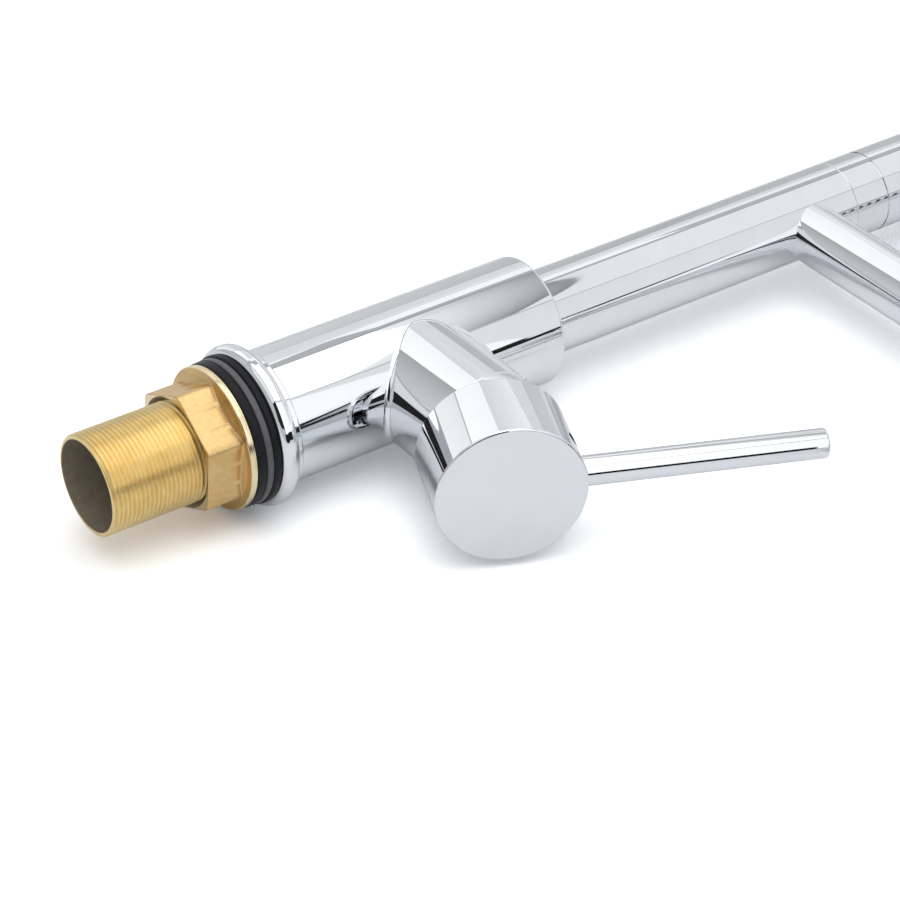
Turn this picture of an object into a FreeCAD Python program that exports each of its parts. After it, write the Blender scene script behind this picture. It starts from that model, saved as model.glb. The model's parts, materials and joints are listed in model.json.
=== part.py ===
"""Pull-out kitchen faucet with a spring-guided spray, as an assembly of turned, cast and drawn pieces.

Millimetres. The origin is on the shank's axis in the plane of the worktop, +Z runs up the column and
+X points along the side barrel that carries the handle. The handle is modelled lifted open.
"""
import FreeCAD
import Part
import math
import os
import re
import Sketcher

Vector = FreeCAD.Vector

doc = FreeCAD.newDocument("kitchen_faucet")
sheet = doc.addObject("Spreadsheet::Sheet", "dims")

# Driving dimensions in millimetres, degrees or counts
DIMENSIONS = [
    # worktop fixing
    ("gasket_thickness", "2.4"),
    ("gasket_radius", "23.7"),
    ("washer_thickness", "5.6"),
    ("slip_washer_thickness", "2.2"),
    ("washer_radius", "23.2"),
    ("washer_play", "0.3"),
    ("shank_radius", "16"),
    ("shank_wall", "1.4"),
    ("shank_drop", "50.8"),
    ("shank_engagement", "14"),
    ("thread_pitch", "1.5"),
    ("thread_depth", "0.6"),
    ("thread_fit", "0.08"),
    ("shank_chamfer", "0.6"),
    ("nut_across_flats", "36"),
    ("nut_height", "14.4"),
    ("nut_flange_radius", "22.8"),
    ("nut_flange_thickness", "2.2"),
    ("nut_cone_radius", "20.6"),
    ("nut_cone_height", "1.2"),
    ("nut_chamfer", "0.6"),
    ("nut_countersink", "1.5"),
    ("nut_turn", "-25.5"),
    # column casting
    ("body_radius", "21.2"),
    ("body_top", "110.4"),
    ("body_lip", "1.2"),
    ("base_ring_radius", "25.6"),
    ("base_ring_height", "6"),
    ("base_ring_round", "2.4"),
    ("base_bead_radius", "22.7"),
    ("base_bead_height", "2.5"),
    ("base_bead_round", "0.7"),
    ("press_gap", "0.05"),
    ("well_top", "36.4"),
    ("inlet_radius", "4.5"),
    ("inlet_depth", "9"),
    ("passage_radius", "2.8"),
    ("passage_port_radius", "2.4"),
    ("passage_over", "1"),
    ("outlet_radius", "3.4"),
    ("outlet_rise_radius", "3.8"),
    ("port_circle", "8"),
    # side barrel and cartridge, measured along the barrel from the column's axis
    ("barrel_height", "62.4"),
    ("barrel_radius", "20"),
    ("barrel_reach", "44"),
    ("barrel_root_round", "2"),
    ("barrel_chamfer", "0.5"),
    ("seat_reach", "12"),
    ("cartridge_radius", "17.3"),
    ("cartridge_gap", "0.1"),
    ("seal_radius", "13"),
    ("seal_thickness", "1.2"),
    ("cartridge_base_thickness", "4"),
    ("ceramic_radius", "14.5"),
    ("ceramic_thickness", "4"),
    ("ceramic_film", "0.05"),
    ("moving_ceramic_radius", "10.2"),
    ("driver_height", "7.7"),
    ("driver_socket_radius", "3.1"),
    ("driver_socket_depth", "6"),
    ("housing_wall", "2"),
    ("housing_reach", "39"),
    ("housing_lid", "3"),
    ("carrier_flange", "2.2"),
    ("carrier_neck_radius", "11.9"),
    ("carrier_neck_reach", "50"),
    ("carrier_play", "0.2"),
    ("stem_slot_length", "18.4"),
    ("stem_slot_width", "8.6"),
    ("cartridge_nut_height", "4"),
    ("cartridge_nut_bore", "12.7"),
    ("bonnet_radius", "19.7"),
    ("bonnet_wall", "1.5"),
    ("bonnet_mouth", "13"),
    ("pin_recess", "0.5"),
    # handle, measured along the cap's axis from the pivot pin
    ("open_angle", "23.5"),
    ("pivot_pin_radius", "1.5"),
    ("pin_fit", "0.05"),
    ("stem_radius", "4"),
    ("stem_reach", "29.5"),
    ("stem_shoulder", "9.5"),
    ("stem_neck_radius", "1.8"),
    ("stem_ball_radius", "2.7"),
    ("stem_ball_reach", "14"),
    ("cap_radius", "23.3"),
    ("cap_wall", "2"),
    ("cap_rear", "6.2"),
    ("cap_face", "34.2"),
    ("cap_hollow", "21.5"),
    ("cap_round", "0.7"),
    ("lever_setback", "8.3"),
    ("lever_radius", "4.7"),
    ("lever_tip", "99"),
    ("lever_round", "0.9"),
    ("lever_spigot_radius", "3.5"),
    ("lever_spigot_root", "14"),
    ("grub_radius", "2.5"),
    ("grub_length", "8"),
    ("grub_socket", "1.25"),
    ("grub_angle", "30"),
    # swivelling riser
    ("socket_floor", "86.4"),
    ("socket_radius", "16.6"),
    ("swivel_fit", "0.1"),
    ("foot_radius", "16.4"),
    ("foot_bore", "9"),
    ("foot_lift", "0.5"),
    ("foot_top", "101.4"),
    ("foot_spigot", "8"),
    ("seal_groove_width", "2.5"),
    ("seal_groove_depth", "2.1"),
    ("seal_cord_radius", "1.05"),
    ("seal_first", "88.9"),
    ("seal_second", "92.9"),
    ("stop_groove", "97.2"),
    ("stop_groove_depth", "1.6"),
    ("stop_screw_radius", "2.5"),
    ("stop_tip_radius", "1"),
    ("stop_tip_length", "1.1"),
    ("stop_screw_length", "4"),
    ("riser_radius", "14"),
    ("riser_wall", "1.5"),
    ("riser_top", "239.4"),
    ("joint_ring_height", "14"),
    ("joint_spigot", "10"),
    ("seam_groove", "0.6"),
    ("seam_round", "0.25"),
    ("collar_height", "30"),
    ("nipple_flange", "8"),
    ("nipple_radius", "4.9"),
    ("nipple_bore", "3.5"),
    ("nipple_length", "26"),
    # holder arm
    ("arm_height", "221.4"),
    ("arm_radius", "10"),
    ("arm_wall", "1.2"),
    ("arm_reach", "190"),
    ("arm_insert", "10"),
    ("cradle_radius", "17.5"),
    ("cradle_bore", "12.4"),
    ("cradle_height", "24.4"),
    ("cradle_boss_radius", "12"),
    ("cradle_boss_length", "14"),
    ("magnet_radius", "5"),
    ("magnet_thickness", "4"),
    ("magnet_cover", "1.2"),
    # spring and hose
    ("arch_height", "328.4"),
    ("spring_radius", "11.2"),
    ("spring_wire", "2.8"),
    ("spring_turns", "88"),
    ("spring_play", "0.4"),
    ("spring_cup", "8"),
    ("spring_lead", "7"),
    ("spring_end_swing", "40"),
    ("hose_radius", "7.5"),
    ("hose_wall", "2.5"),
    ("hose_play", "0.4"),
    # spray head, heights above the worktop
    ("spring_run", "30"),
    ("spray_top", "=arch_height - spring_run"),
    ("ferrule_radius", "14"),
    ("ferrule_height", "22"),
    ("ferrule_taper", "1.4"),
    ("shell_neck_radius", "10"),
    ("shell_neck_height", "8"),
    ("grip_radius", "13.4"),
    ("dock_neck_radius", "12"),
    ("dock_collar_radius", "15.6"),
    ("dock_collar_height", "6"),
    ("dock_drop", "1"),
    ("head_start", "174.4"),
    ("head_end", "138.4"),
    ("head_radius", "22"),
    ("head_taper", "0.5"),
    ("spray_bottom", "130.4"),
    ("waterway_radius", "6.5"),
    ("face_cavity_radius", "19.6"),
    ("face_cavity_depth", "16"),
    ("face_cavity_top", "=spray_bottom + face_cavity_depth"),
    ("face_plate_thickness", "3.5"),
    ("nozzle_circle", "15.5"),
    ("nozzle_radius", "0.9"),
    ("nozzle_count", "20"),
    ("nozzle_mat_thickness", "2.5"),
    ("aerator_radius", "8.4"),
    ("aerator_height", "14"),
    ("aerator_proud", "0.8"),
    ("check_valve_radius", "6.4"),
    ("check_valve_height", "12"),
    ("check_valve_top", "270.4"),
    ("button_height", "192.4"),
    ("button_radius", "5.6"),
    ("button_fit", "0.15"),
    ("button_proud", "2.2"),
    ("button_seat", "9"),
    ("button_spring_height", "2"),
    ("button_spring_radius", "4.6"),
    ("spool_radius", "2.4"),
    ("spool_reach", "3.5"),
]

for row, (alias, number) in enumerate(DIMENSIONS, start=1):
    sheet.set("A%d" % row, alias)
    sheet.set("B%d" % row, number)
    sheet.setAlias("B%d" % row, alias)
doc.recompute()

SIZE = {alias: float(sheet.get(alias)) for alias, number in DIMENSIONS}
WORD = re.compile(r"\b[a-z]\w*_\w+\b")

# Two lengths that differ by less than this are the same
SAME_LENGTH = 0.001

# Directions of a piece's own Z axis in the assembly
ALONG_BARREL = FreeCAD.Rotation(Vector(0, 1, 0), 90)
ALONG_CAP = FreeCAD.Rotation(Vector(0, 1, 0), 90 + SIZE["open_angle"])
ALONG_MINUS_X = FreeCAD.Rotation(Vector(0, 1, 0), -90)
ALONG_Y = FreeCAD.Rotation(Vector(1, 0, 0), -90)

nodes = {}


def bound(text):
    """An expression on the sheet, from a sum written with the plain names of the sizes."""
    return WORD.sub(lambda word: "dims." + word.group(0), text)


def place(item, at=("0", "0", "0"), turn=None):
    """Turns a piece, then binds its position to the sheet."""
    if turn is not None:
        item.Placement = FreeCAD.Placement(Vector(0, 0, 0), turn)
    for axis, text in zip("xyz", at):
        if text != "0":
            item.setExpression("Placement.Base." + axis, bound(text))
    return item


def node(name, item):
    """Files a finished piece under the name of its node."""
    item.Label = name
    nodes[name] = item
    return item


def round_block(name, radius, height, at=("0", "0", "0"), turn=None):
    """A plain cylinder, standing on the point given."""
    item = doc.addObject("Part::Cylinder", name)
    item.setExpression("Radius", bound(radius))
    item.setExpression("Height", bound(height))
    return place(item, at, turn)


def joined(name, *items):
    item = doc.addObject("Part::MultiFuse", name)
    item.Shapes = list(items)
    return item


def cut(name, base, tool):
    item = doc.addObject("Part::Cut", name)
    item.Base = base
    item.Tool = tool
    return item


def shared(name, *items):
    item = doc.addObject("Part::MultiCommon", name)
    item.Shapes = list(items)
    return item


def new_body(name):
    return doc.addObject("PartDesign::Body", name)


def new_sketch(body, name, role):
    """A sketch on one of the body's own planes."""
    sketch = body.newObject("Sketcher::SketchObject", name)
    plane = [item for item in body.Origin.OriginFeatures if item.Role == role][0]
    sketch.AttachmentSupport = [(plane, "")]
    sketch.MapMode = "FlatFace"
    return sketch


def closed_outline(sketch, points):
    """A closed outline of straight lines whose corners are bound to the sheet."""
    count = len(points)
    ring = [math.tau * index / count for index in range(count + 1)]
    corners = [Vector(20 + math.cos(angle), math.sin(angle), 0) for angle in ring]
    for index in range(count):
        sketch.addGeometry(Part.LineSegment(corners[index], corners[index + 1]))
    for index in range(count):
        sketch.addConstraint(Sketcher.Constraint("Coincident", index, 2, (index + 1) % count, 1))
    for index, point in enumerate(points):
        for kind, text in zip(("DistanceX", "DistanceY"), point):
            number = sketch.addConstraint(Sketcher.Constraint(kind, -1, 1, index, 1, 1.0))
            sketch.setExpression("Constraints[%d]" % number, bound(text))


def turned(name, profile):
    """A lathe-turned body about Z, from corners of (radius, height) or (radius, height, round)."""
    body = new_body(name)
    sketch = new_sketch(body, name + "_profile", "XZ_Plane")
    closed_outline(sketch, [corner[:2] for corner in profile])
    feature = body.newObject("PartDesign::Revolution", name + "_turning")
    feature.Profile = sketch
    feature.ReferenceAxis = (sketch, ["V_Axis"])
    feature.Angle = 360
    doc.recompute()
    for index, corner in enumerate(profile):
        if len(corner) == 3:
            point = sketch.getPoint(index, 1)
            rounding = body.newObject("PartDesign::Fillet", "%s_round_%d" % (name, index))
            rounding.Base = (feature, ring_edges(feature.Shape, point.x, point.y))
            rounding.setExpression("Radius", bound(corner[2]))
            doc.recompute()
            feature = rounding
    return body


def ring_edges(shape, radius, height):
    """The names of the circular edges of a turned shape at one radius and height."""
    found = []
    for number, edge in enumerate(shape.Edges, start=1):
        if not isinstance(edge.Curve, Part.Circle):
            continue
        near_radius = abs(edge.Curve.Radius - radius) < SAME_LENGTH
        near_height = abs(edge.Curve.Center.z - height) < SAME_LENGTH
        if near_radius and near_height:
            found.append("Edge%d" % number)
    return found


def tube(outer, inner, low, high):
    """The profile of a plain ring."""
    return [(inner, low), (outer, low), (outer, high), (inner, high)]


# Threaded shank
def shank():
    body = turned(
        "shank_tube",
        [
            ("shank_radius - shank_wall", "-shank_drop"),
            ("shank_radius - shank_chamfer", "-shank_drop"),
            ("shank_radius", "-shank_drop + shank_chamfer"),
            ("shank_radius", "shank_engagement"),
            ("shank_radius - shank_wall", "shank_engagement"),
        ],
    )
    sketch = new_sketch(body, "thread_profile", "XZ_Plane")
    low = "-shank_drop + thread_pitch"
    closed_outline(
        sketch,
        [
            ("shank_radius + thread_depth", low + " - thread_depth"),
            ("shank_radius + thread_depth", low + " + thread_depth"),
            ("shank_radius - thread_depth", low),
        ],
    )
    whole = body.Shape.Volume
    groove = body.newObject("PartDesign::Groove", "thread_groove")
    groove.Profile = sketch
    groove.ReferenceAxis = (sketch, ["V_Axis"])
    groove.Angle = 360
    doc.recompute()
    turns = int((SIZE["shank_drop"] - SIZE["thread_pitch"]) / SIZE["thread_pitch"])
    pattern = body.newObject("PartDesign::LinearPattern", "thread_turns")
    pattern.Originals = [groove]
    pattern.Direction = (sketch, ["V_Axis"])
    pattern.Occurrences = turns
    pattern.setExpression("Length", bound("thread_pitch * %d" % (turns - 1)))
    body.Tip = pattern
    doc.recompute()
    print("thread turns", turns, "cut away", round(whole - body.Shape.Volume, 1))
    node("shank", body)


# Rings either side of the worktop: a rubber gasket above, a slip washer and a rubber washer below
def worktop_rings():
    bore = "shank_radius + washer_play"
    split = "-slip_washer_thickness"
    node("base_gasket", turned("base_gasket", tube("gasket_radius", bore, "0", "gasket_thickness")))
    node("slip_washer", turned("slip_washer", tube("washer_radius", bore, split, "0")))
    node("clamp_washer", turned("clamp_washer", tube("washer_radius", bore, "-washer_thickness", split)))


# Hexagon nut with its own flange
def mounting_nut():
    top = "-washer_thickness"
    bottom = top + " - nut_height"
    under = top + " - nut_flange_thickness"
    corner = "nut_across_flats / sqrt(3)"
    bore = "shank_radius + thread_fit"
    hexagon = doc.addObject("Part::Prism", "nut_hexagon")
    hexagon.Polygon = 6
    hexagon.setExpression("Circumradius", bound(corner))
    hexagon.setExpression("Height", bound("nut_height"))
    place(hexagon, ("0", "0", bottom), FreeCAD.Rotation(Vector(0, 0, 1), SIZE["nut_turn"]))
    envelope = turned(
        "nut_envelope",
        [
            ("0", bottom),
            (corner + " - nut_chamfer", bottom),
            (corner + " + nut_chamfer", bottom + " + nut_chamfer"),
            (corner + " + nut_chamfer", top),
            ("0", top),
        ],
    )
    flange = turned(
        "nut_flange",
        [
            ("0", top),
            ("nut_flange_radius", top),
            ("nut_flange_radius", under),
            ("nut_cone_radius", under),
            ("nut_across_flats / 2", under + " - nut_cone_height"),
            ("0", under + " - nut_cone_height"),
        ],
    )
    hole = turned(
        "nut_bore",
        [
            ("0", bottom),
            (bore + " + nut_countersink", bottom),
            (bore, bottom + " + nut_countersink"),
            (bore, top),
            ("0", top),
        ],
    )
    solid = joined("nut_solid", shared("nut_hex", hexagon, envelope), flange)
    node("mounting_nut", cut("mounting_nut", solid, hole))


# Water ports, on a circle about the barrel's axis
def port_tools(name, radius, start, length):
    """Three round ports: hot and cold below the axis, the mixed outlet above it."""
    places = [
        ("port_circle / 2", "port_circle * sqrt(3) / 2"),
        ("port_circle / 2", "-port_circle * sqrt(3) / 2"),
        ("-port_circle", "0"),
    ]
    ports = []
    for number, (across, side) in enumerate(places):
        ports.append(round_block("%s_%d" % (name, number), radius, length, (across, side, start)))
    return joined(name, *ports)


# Column casting with the side barrel
def mixer_body():
    foot = ("0", "0", "gasket_thickness")
    column = round_block("column", "body_radius", "body_top - gasket_thickness", foot)
    middle = ("0", "0", "barrel_height")
    barrel = round_block("barrel", "barrel_radius", "barrel_reach", middle, ALONG_BARREL)
    shank_socket = round_block(
        "shank_socket", "shank_radius + press_gap", "shank_engagement", ("0", "0", "0")
    )
    well = round_block("hose_well", "shank_radius - shank_wall", "well_top", ("0", "0", "0"))
    bore = round_block(
        "cartridge_bore",
        "cartridge_radius + cartridge_gap",
        "barrel_reach",
        ("seat_reach", "0", "barrel_height"),
        ALONG_BARREL,
    )
    socket = round_block("riser_socket", "socket_radius", "body_top", ("0", "0", "socket_floor"))
    stop = round_block(
        "stop_screw_hole",
        "stop_screw_radius",
        "body_radius",
        ("-socket_radius + stop_tip_length", "0", "stop_groove + seal_groove_width / 2"),
        ALONG_MINUS_X,
    )
    tools = [shank_socket, well, bore, socket, stop]
    for side, sign in (("left", "-"), ("right", "")):
        across = sign + "port_circle * sqrt(3) / 2"
        low = "barrel_height - port_circle / 2"
        inlet = ("0", across, "well_top")
        tools.append(round_block(side + "_inlet", "inlet_radius", "inlet_depth", inlet))
        rise = low + " + passage_port_radius + passage_over - well_top"
        tools.append(round_block(side + "_passage", "passage_radius", rise, inlet))
        port = ("0", across, low)
        tools.append(round_block(side + "_port", "passage_port_radius", "seat_reach", port, ALONG_BARREL))
    high = "barrel_height + port_circle"
    tools.append(round_block("outlet_port", "outlet_radius", "seat_reach", ("0", "0", high), ALONG_BARREL))
    rise_low = high + " - outlet_radius - passage_over"
    climb = "socket_floor - (%s)" % rise_low
    tools.append(round_block("outlet_passage", "outlet_rise_radius", climb, ("0", "0", rise_low)))
    # A small cove where the barrel leaves the column
    solid = joined("casting_solid", column, barrel)
    doc.recompute()
    saddle = []
    for number, edge in enumerate(solid.Shape.Edges, start=1):
        if not isinstance(edge.Curve, (Part.Circle, Part.Line)):
            saddle.append(number)
    root = doc.addObject("Part::Fillet", "barrel_root")
    root.Base = solid
    root.Edges = [(number, SIZE["barrel_root_round"], SIZE["barrel_root_round"]) for number in saddle]
    casting = cut("casting", root, joined("casting_bores", *tools))
    doc.recompute()
    rim = ring_edges(casting.Shape, SIZE["body_radius"], SIZE["body_top"])
    lip = doc.addObject("Part::Fillet", "body_lip_round")
    lip.Base = casting
    lip.Edges = [(int(name[4:]), SIZE["body_lip"], SIZE["body_lip"]) for name in rim]
    doc.recompute()
    mouth = []
    for number, edge in enumerate(lip.Shape.Edges, start=1):
        if not isinstance(edge.Curve, Part.Circle):
            continue
        off_end = abs(edge.Curve.Center.x - SIZE["barrel_reach"])
        off_radius = abs(edge.Curve.Radius - SIZE["barrel_radius"])
        if max(off_end, off_radius) < SAME_LENGTH:
            mouth.append(number)
    edge_break = doc.addObject("Part::Chamfer", "barrel_edge")
    edge_break.Base = lip
    edge_break.Edges = [(number, SIZE["barrel_chamfer"], SIZE["barrel_chamfer"]) for number in mouth]
    node("mixer_body", edge_break)


def base_ring():
    inner = "body_radius + press_gap"
    low = "gasket_thickness"
    shoulder = low + " + base_ring_height"
    top = shoulder + " + base_bead_height"
    profile = [
        (inner, low),
        ("base_ring_radius", low, "base_ring_round"),
        ("base_ring_radius", shoulder, "base_ring_round"),
        ("base_bead_radius", shoulder),
        ("base_bead_radius", top, "base_bead_round"),
        (inner, top),
    ]
    node("base_ring", turned("base_ring", profile))


# Ceramic cartridge in the barrel
SEAL_TOP = "seat_reach + seal_thickness"
BASE_TOP = SEAL_TOP + " + cartridge_base_thickness"
FIXED_TOP = BASE_TOP + " + ceramic_thickness"
MOVING_LOW = FIXED_TOP + " + ceramic_film"
MOVING_TOP = MOVING_LOW + " + ceramic_thickness"
DRIVER_TOP = MOVING_TOP + " + driver_height"
HALF_TRAVEL = "stem_ball_reach * sin(open_angle * 1 deg) / 2"
BARREL_ORIGIN = ("0", "0", "barrel_height")
PIVOT = ("barrel_reach", "0", "barrel_height")


def ported_disc(name, radius, low, thickness):
    disc = round_block(name + "_disc", radius, thickness, ("0", "0", low))
    ports = port_tools(name + "_ports", "outlet_radius", low, thickness)
    return node(name, place(cut(name, disc, ports), BARREL_ORIGIN, ALONG_BARREL))


def cartridge_fixed():
    ported_disc("cartridge_seal", "seal_radius", "seat_reach", "seal_thickness")
    ported_disc("cartridge_base", "cartridge_radius", SEAL_TOP, "cartridge_base_thickness")
    ported_disc("fixed_ceramic_disc", "ceramic_radius", BASE_TOP, "ceramic_thickness")
    inner = "cartridge_radius - housing_wall"
    mouth = "carrier_neck_radius + carrier_play"
    profile = [
        (inner, BASE_TOP),
        ("cartridge_radius", BASE_TOP),
        ("cartridge_radius", "housing_reach"),
        (mouth, "housing_reach"),
        (mouth, "housing_reach - housing_lid"),
        (inner, "housing_reach - housing_lid"),
    ]
    node("cartridge_housing", place(turned("cartridge_housing", profile), BARREL_ORIGIN, ALONG_BARREL))
    top = "housing_reach + cartridge_nut_height"
    ring = turned("cartridge_nut", tube("cartridge_radius", "cartridge_nut_bore", "housing_reach", top))
    node("cartridge_nut", place(ring, BARREL_ORIGIN, ALONG_BARREL))


def bonnet():
    """A domed cover centred on the pivot, so that the cap's skirt swings round it."""
    dome = doc.addObject("Part::Sphere", "bonnet_outside")
    dome.setExpression("Radius", bound("bonnet_radius"))
    hollow = doc.addObject("Part::Sphere", "bonnet_inside")
    hollow.setExpression("Radius", bound("bonnet_radius - bonnet_wall"))
    half = round_block("bonnet_half", "bonnet_radius * 2", "bonnet_radius")
    mouth = round_block("bonnet_opening", "bonnet_mouth", "bonnet_radius")
    shell = cut("bonnet_shell", shared("bonnet_dome", dome, half), joined("bonnet_hollow", hollow, mouth))
    node("bonnet", place(shell, PIVOT, ALONG_BARREL))


def cartridge_moving():
    """The disc and its driver slide along the column when the handle lifts."""
    offset = ("0", "0", "barrel_height + " + HALF_TRAVEL)
    low_face = ("0", "0", MOVING_LOW)
    disc = round_block("moving_ceramic", "moving_ceramic_radius", "ceramic_thickness", low_face)
    groove = round_block(
        "mixing_groove", "port_circle / 2", "ceramic_thickness / 2", ("0", "0", MOVING_LOW)
    )
    node("moving_ceramic_disc", place(cut("moving_ceramic_disc", disc, groove), offset, ALONG_BARREL))
    block = round_block("driver_block", "moving_ceramic_radius", "driver_height", ("0", "0", MOVING_TOP))
    socket = round_block(
        "driver_socket",
        "driver_socket_radius",
        "driver_socket_depth",
        ("-" + HALF_TRAVEL, "0", DRIVER_TOP + " - driver_socket_depth"),
    )
    node("disc_driver", place(cut("disc_driver", block, socket), offset, ALONG_BARREL))


def carrier():
    """The turning carrier of the cartridge, slotted for the stem and bored for its pin."""
    top = "housing_reach - housing_lid - carrier_play"
    low = top + " - carrier_flange"
    flange = "cartridge_radius - housing_wall - carrier_play"
    profile = [
        ("0", low),
        (flange, low),
        (flange, top),
        ("carrier_neck_radius", top),
        ("carrier_neck_radius", "carrier_neck_reach"),
        ("0", "carrier_neck_reach"),
    ]
    slot = doc.addObject("Part::Box", "stem_slot")
    slot.setExpression("Length", bound("stem_slot_length"))
    slot.setExpression("Width", bound("stem_slot_width"))
    slot.setExpression("Height", bound("carrier_neck_reach"))
    place(slot, ("-stem_slot_length / 2", "-stem_slot_width / 2", "0"))
    pin_hole = round_block(
        "carrier_pin_hole",
        "pivot_pin_radius",
        "carrier_neck_radius * 2",
        ("0", "-carrier_neck_radius", "barrel_reach"),
        ALONG_Y,
    )
    turning = turned("carrier_turning", profile)
    block = cut("cartridge_carrier", turning, joined("carrier_cuts", slot, pin_hole))
    node("cartridge_carrier", place(block, BARREL_ORIGIN, ALONG_BARREL))
    pin = round_block(
        "pivot_pin",
        "pivot_pin_radius",
        "(carrier_neck_radius - pin_recess) * 2",
        ("barrel_reach", "-carrier_neck_radius + pin_recess", "barrel_height"),
        ALONG_Y,
    )
    node("pivot_pin", pin)


# Handle, built about the pivot with the cap's axis along Z and the lever along -X
def lever_stem():
    heel = ("0", "0", "-stem_shoulder")
    shaft = round_block("stem_shaft", "stem_radius", "stem_reach + stem_shoulder", heel)
    neck = round_block(
        "stem_neck", "stem_neck_radius", "stem_ball_reach - stem_shoulder", ("0", "0", "-stem_ball_reach")
    )
    ball = doc.addObject("Part::Sphere", "stem_ball")
    ball.setExpression("Radius", bound("stem_ball_radius"))
    place(ball, ("0", "0", "-stem_ball_reach"))
    eye = round_block(
        "stem_eye", "pivot_pin_radius + pin_fit", "stem_radius * 2", ("0", "-stem_radius", "0"), ALONG_Y
    )
    stem = cut("lever_stem", joined("stem_solid", shaft, neck, ball), eye)
    node("lever_stem", place(stem, PIVOT, ALONG_CAP))


def radial_tool(name, radius, start, end, angle=None):
    """A round tool square to the cap's axis, in line with the lever or at an angle from it."""
    turn = ALONG_MINUS_X
    across = "1"
    side = "0"
    if angle is not None:
        turn = FreeCAD.Rotation(Vector(0, 0, 1), SIZE[angle]).multiply(ALONG_MINUS_X)
        across = "cos(%s * 1 deg)" % angle
        side = "sin(%s * 1 deg)" % angle
    at = ("-(%s) * %s" % (start, across), "-(%s) * %s" % (start, side), "cap_face - lever_setback")
    return round_block(name, radius, "%s - (%s)" % (end, start), at, turn)


def handle_cap():
    inner = "cap_radius - cap_wall"
    shell = turned(
        "cap_turning",
        [
            ("stem_radius + press_gap", "cap_hollow"),
            (inner, "cap_hollow"),
            (inner, "cap_rear"),
            ("cap_radius", "cap_rear", "cap_round"),
            ("cap_radius", "cap_face", "cap_round"),
            ("0", "cap_face"),
            ("0", "stem_reach + press_gap"),
            ("stem_radius + press_gap", "stem_reach + press_gap"),
        ],
    )
    lever_hole = radial_tool("lever_hole", "lever_spigot_radius", "lever_spigot_root", "cap_radius")
    screw_hole = radial_tool("screw_hole", "grub_radius", "stem_radius", "cap_radius", "grub_angle")
    cap = cut("handle_cap", shell, joined("cap_holes", lever_hole, screw_hole))
    node("handle_cap", place(cap, PIVOT, ALONG_CAP))


def lever_rod():
    rod = turned(
        "lever_bar",
        [
            ("0", "cap_radius - cap_wall"),
            ("lever_radius", "cap_radius - cap_wall"),
            ("lever_radius", "lever_tip", "lever_round"),
            ("0", "lever_tip"),
        ],
    )
    place(rod, ("0", "0", "cap_face - lever_setback"), ALONG_MINUS_X)
    saddle = round_block("cap_outside", "cap_radius", "cap_face")
    spigot = radial_tool("lever_spigot", "lever_spigot_radius", "lever_spigot_root", "cap_radius")
    lever = joined("lever_rod", cut("lever_saddle", rod, saddle), spigot)
    node("lever_rod", place(lever, PIVOT, ALONG_CAP))


def grub_screw():
    start = "stem_radius + press_gap"
    screw = radial_tool("grub_blank", "grub_radius", start, start + " + grub_length", "grub_angle")
    socket = radial_tool(
        "grub_key", "grub_socket", start + " + grub_length / 2", start + " + grub_length", "grub_angle"
    )
    node("handle_grub_screw", place(cut("handle_grub_screw", screw, socket), PIVOT, ALONG_CAP))


# Cups in which the spring's two ends are seated
CUP_RADIUS = "spring_radius + spring_wire / 2 + spring_play"


# Swivel foot and riser
def swivel():
    low = "socket_floor + foot_lift"
    root = "foot_radius - seal_groove_depth"
    stop_root = "foot_radius - stop_groove_depth"
    inside = "riser_radius - riser_wall - press_gap"
    profile = [("foot_bore", low), ("foot_radius", low)]
    grooves = [("seal_first", root), ("seal_second", root), ("stop_groove", stop_root)]
    for groove_low, groove_root in grooves:
        groove_high = groove_low + " + seal_groove_width"
        profile += [
            ("foot_radius", groove_low),
            (groove_root, groove_low),
            (groove_root, groove_high),
            ("foot_radius", groove_high),
        ]
    profile += [
        ("foot_radius", "foot_top"),
        (inside, "foot_top"),
        (inside, "foot_top + foot_spigot"),
        ("foot_bore", "foot_top + foot_spigot"),
    ]
    node("swivel_foot", turned("swivel_foot", profile))
    rings = []
    for name, height in (("lower_ring", "seal_first"), ("upper_ring", "seal_second")):
        ring = doc.addObject("Part::Torus", name)
        ring.setExpression("Radius1", bound(root + " + seal_cord_radius + press_gap"))
        ring.setExpression("Radius2", bound("seal_cord_radius"))
        rings.append(place(ring, ("0", "0", height + " + seal_groove_width / 2")))
    pair = doc.addObject("Part::Compound", "riser_seals")
    pair.Links = rings
    node("riser_seals", pair)
    bush = tube("socket_radius", "riser_radius + swivel_fit", "foot_top + foot_lift", "body_top")
    node("swivel_bush", turned("swivel_bush", bush))
    screw = turned(
        "stop_screw",
        [
            ("0", "0"),
            ("stop_tip_radius", "0"),
            ("stop_tip_radius", "stop_tip_length"),
            ("stop_screw_radius", "stop_tip_length"),
            ("stop_screw_radius", "stop_tip_length + stop_screw_length"),
            ("0", "stop_tip_length + stop_screw_length"),
        ],
    )
    centre = ("-socket_radius + stop_tip_length", "0", "stop_groove + seal_groove_width / 2")
    node("swivel_stop_screw", place(screw, centre, ALONG_MINUS_X))


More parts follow.
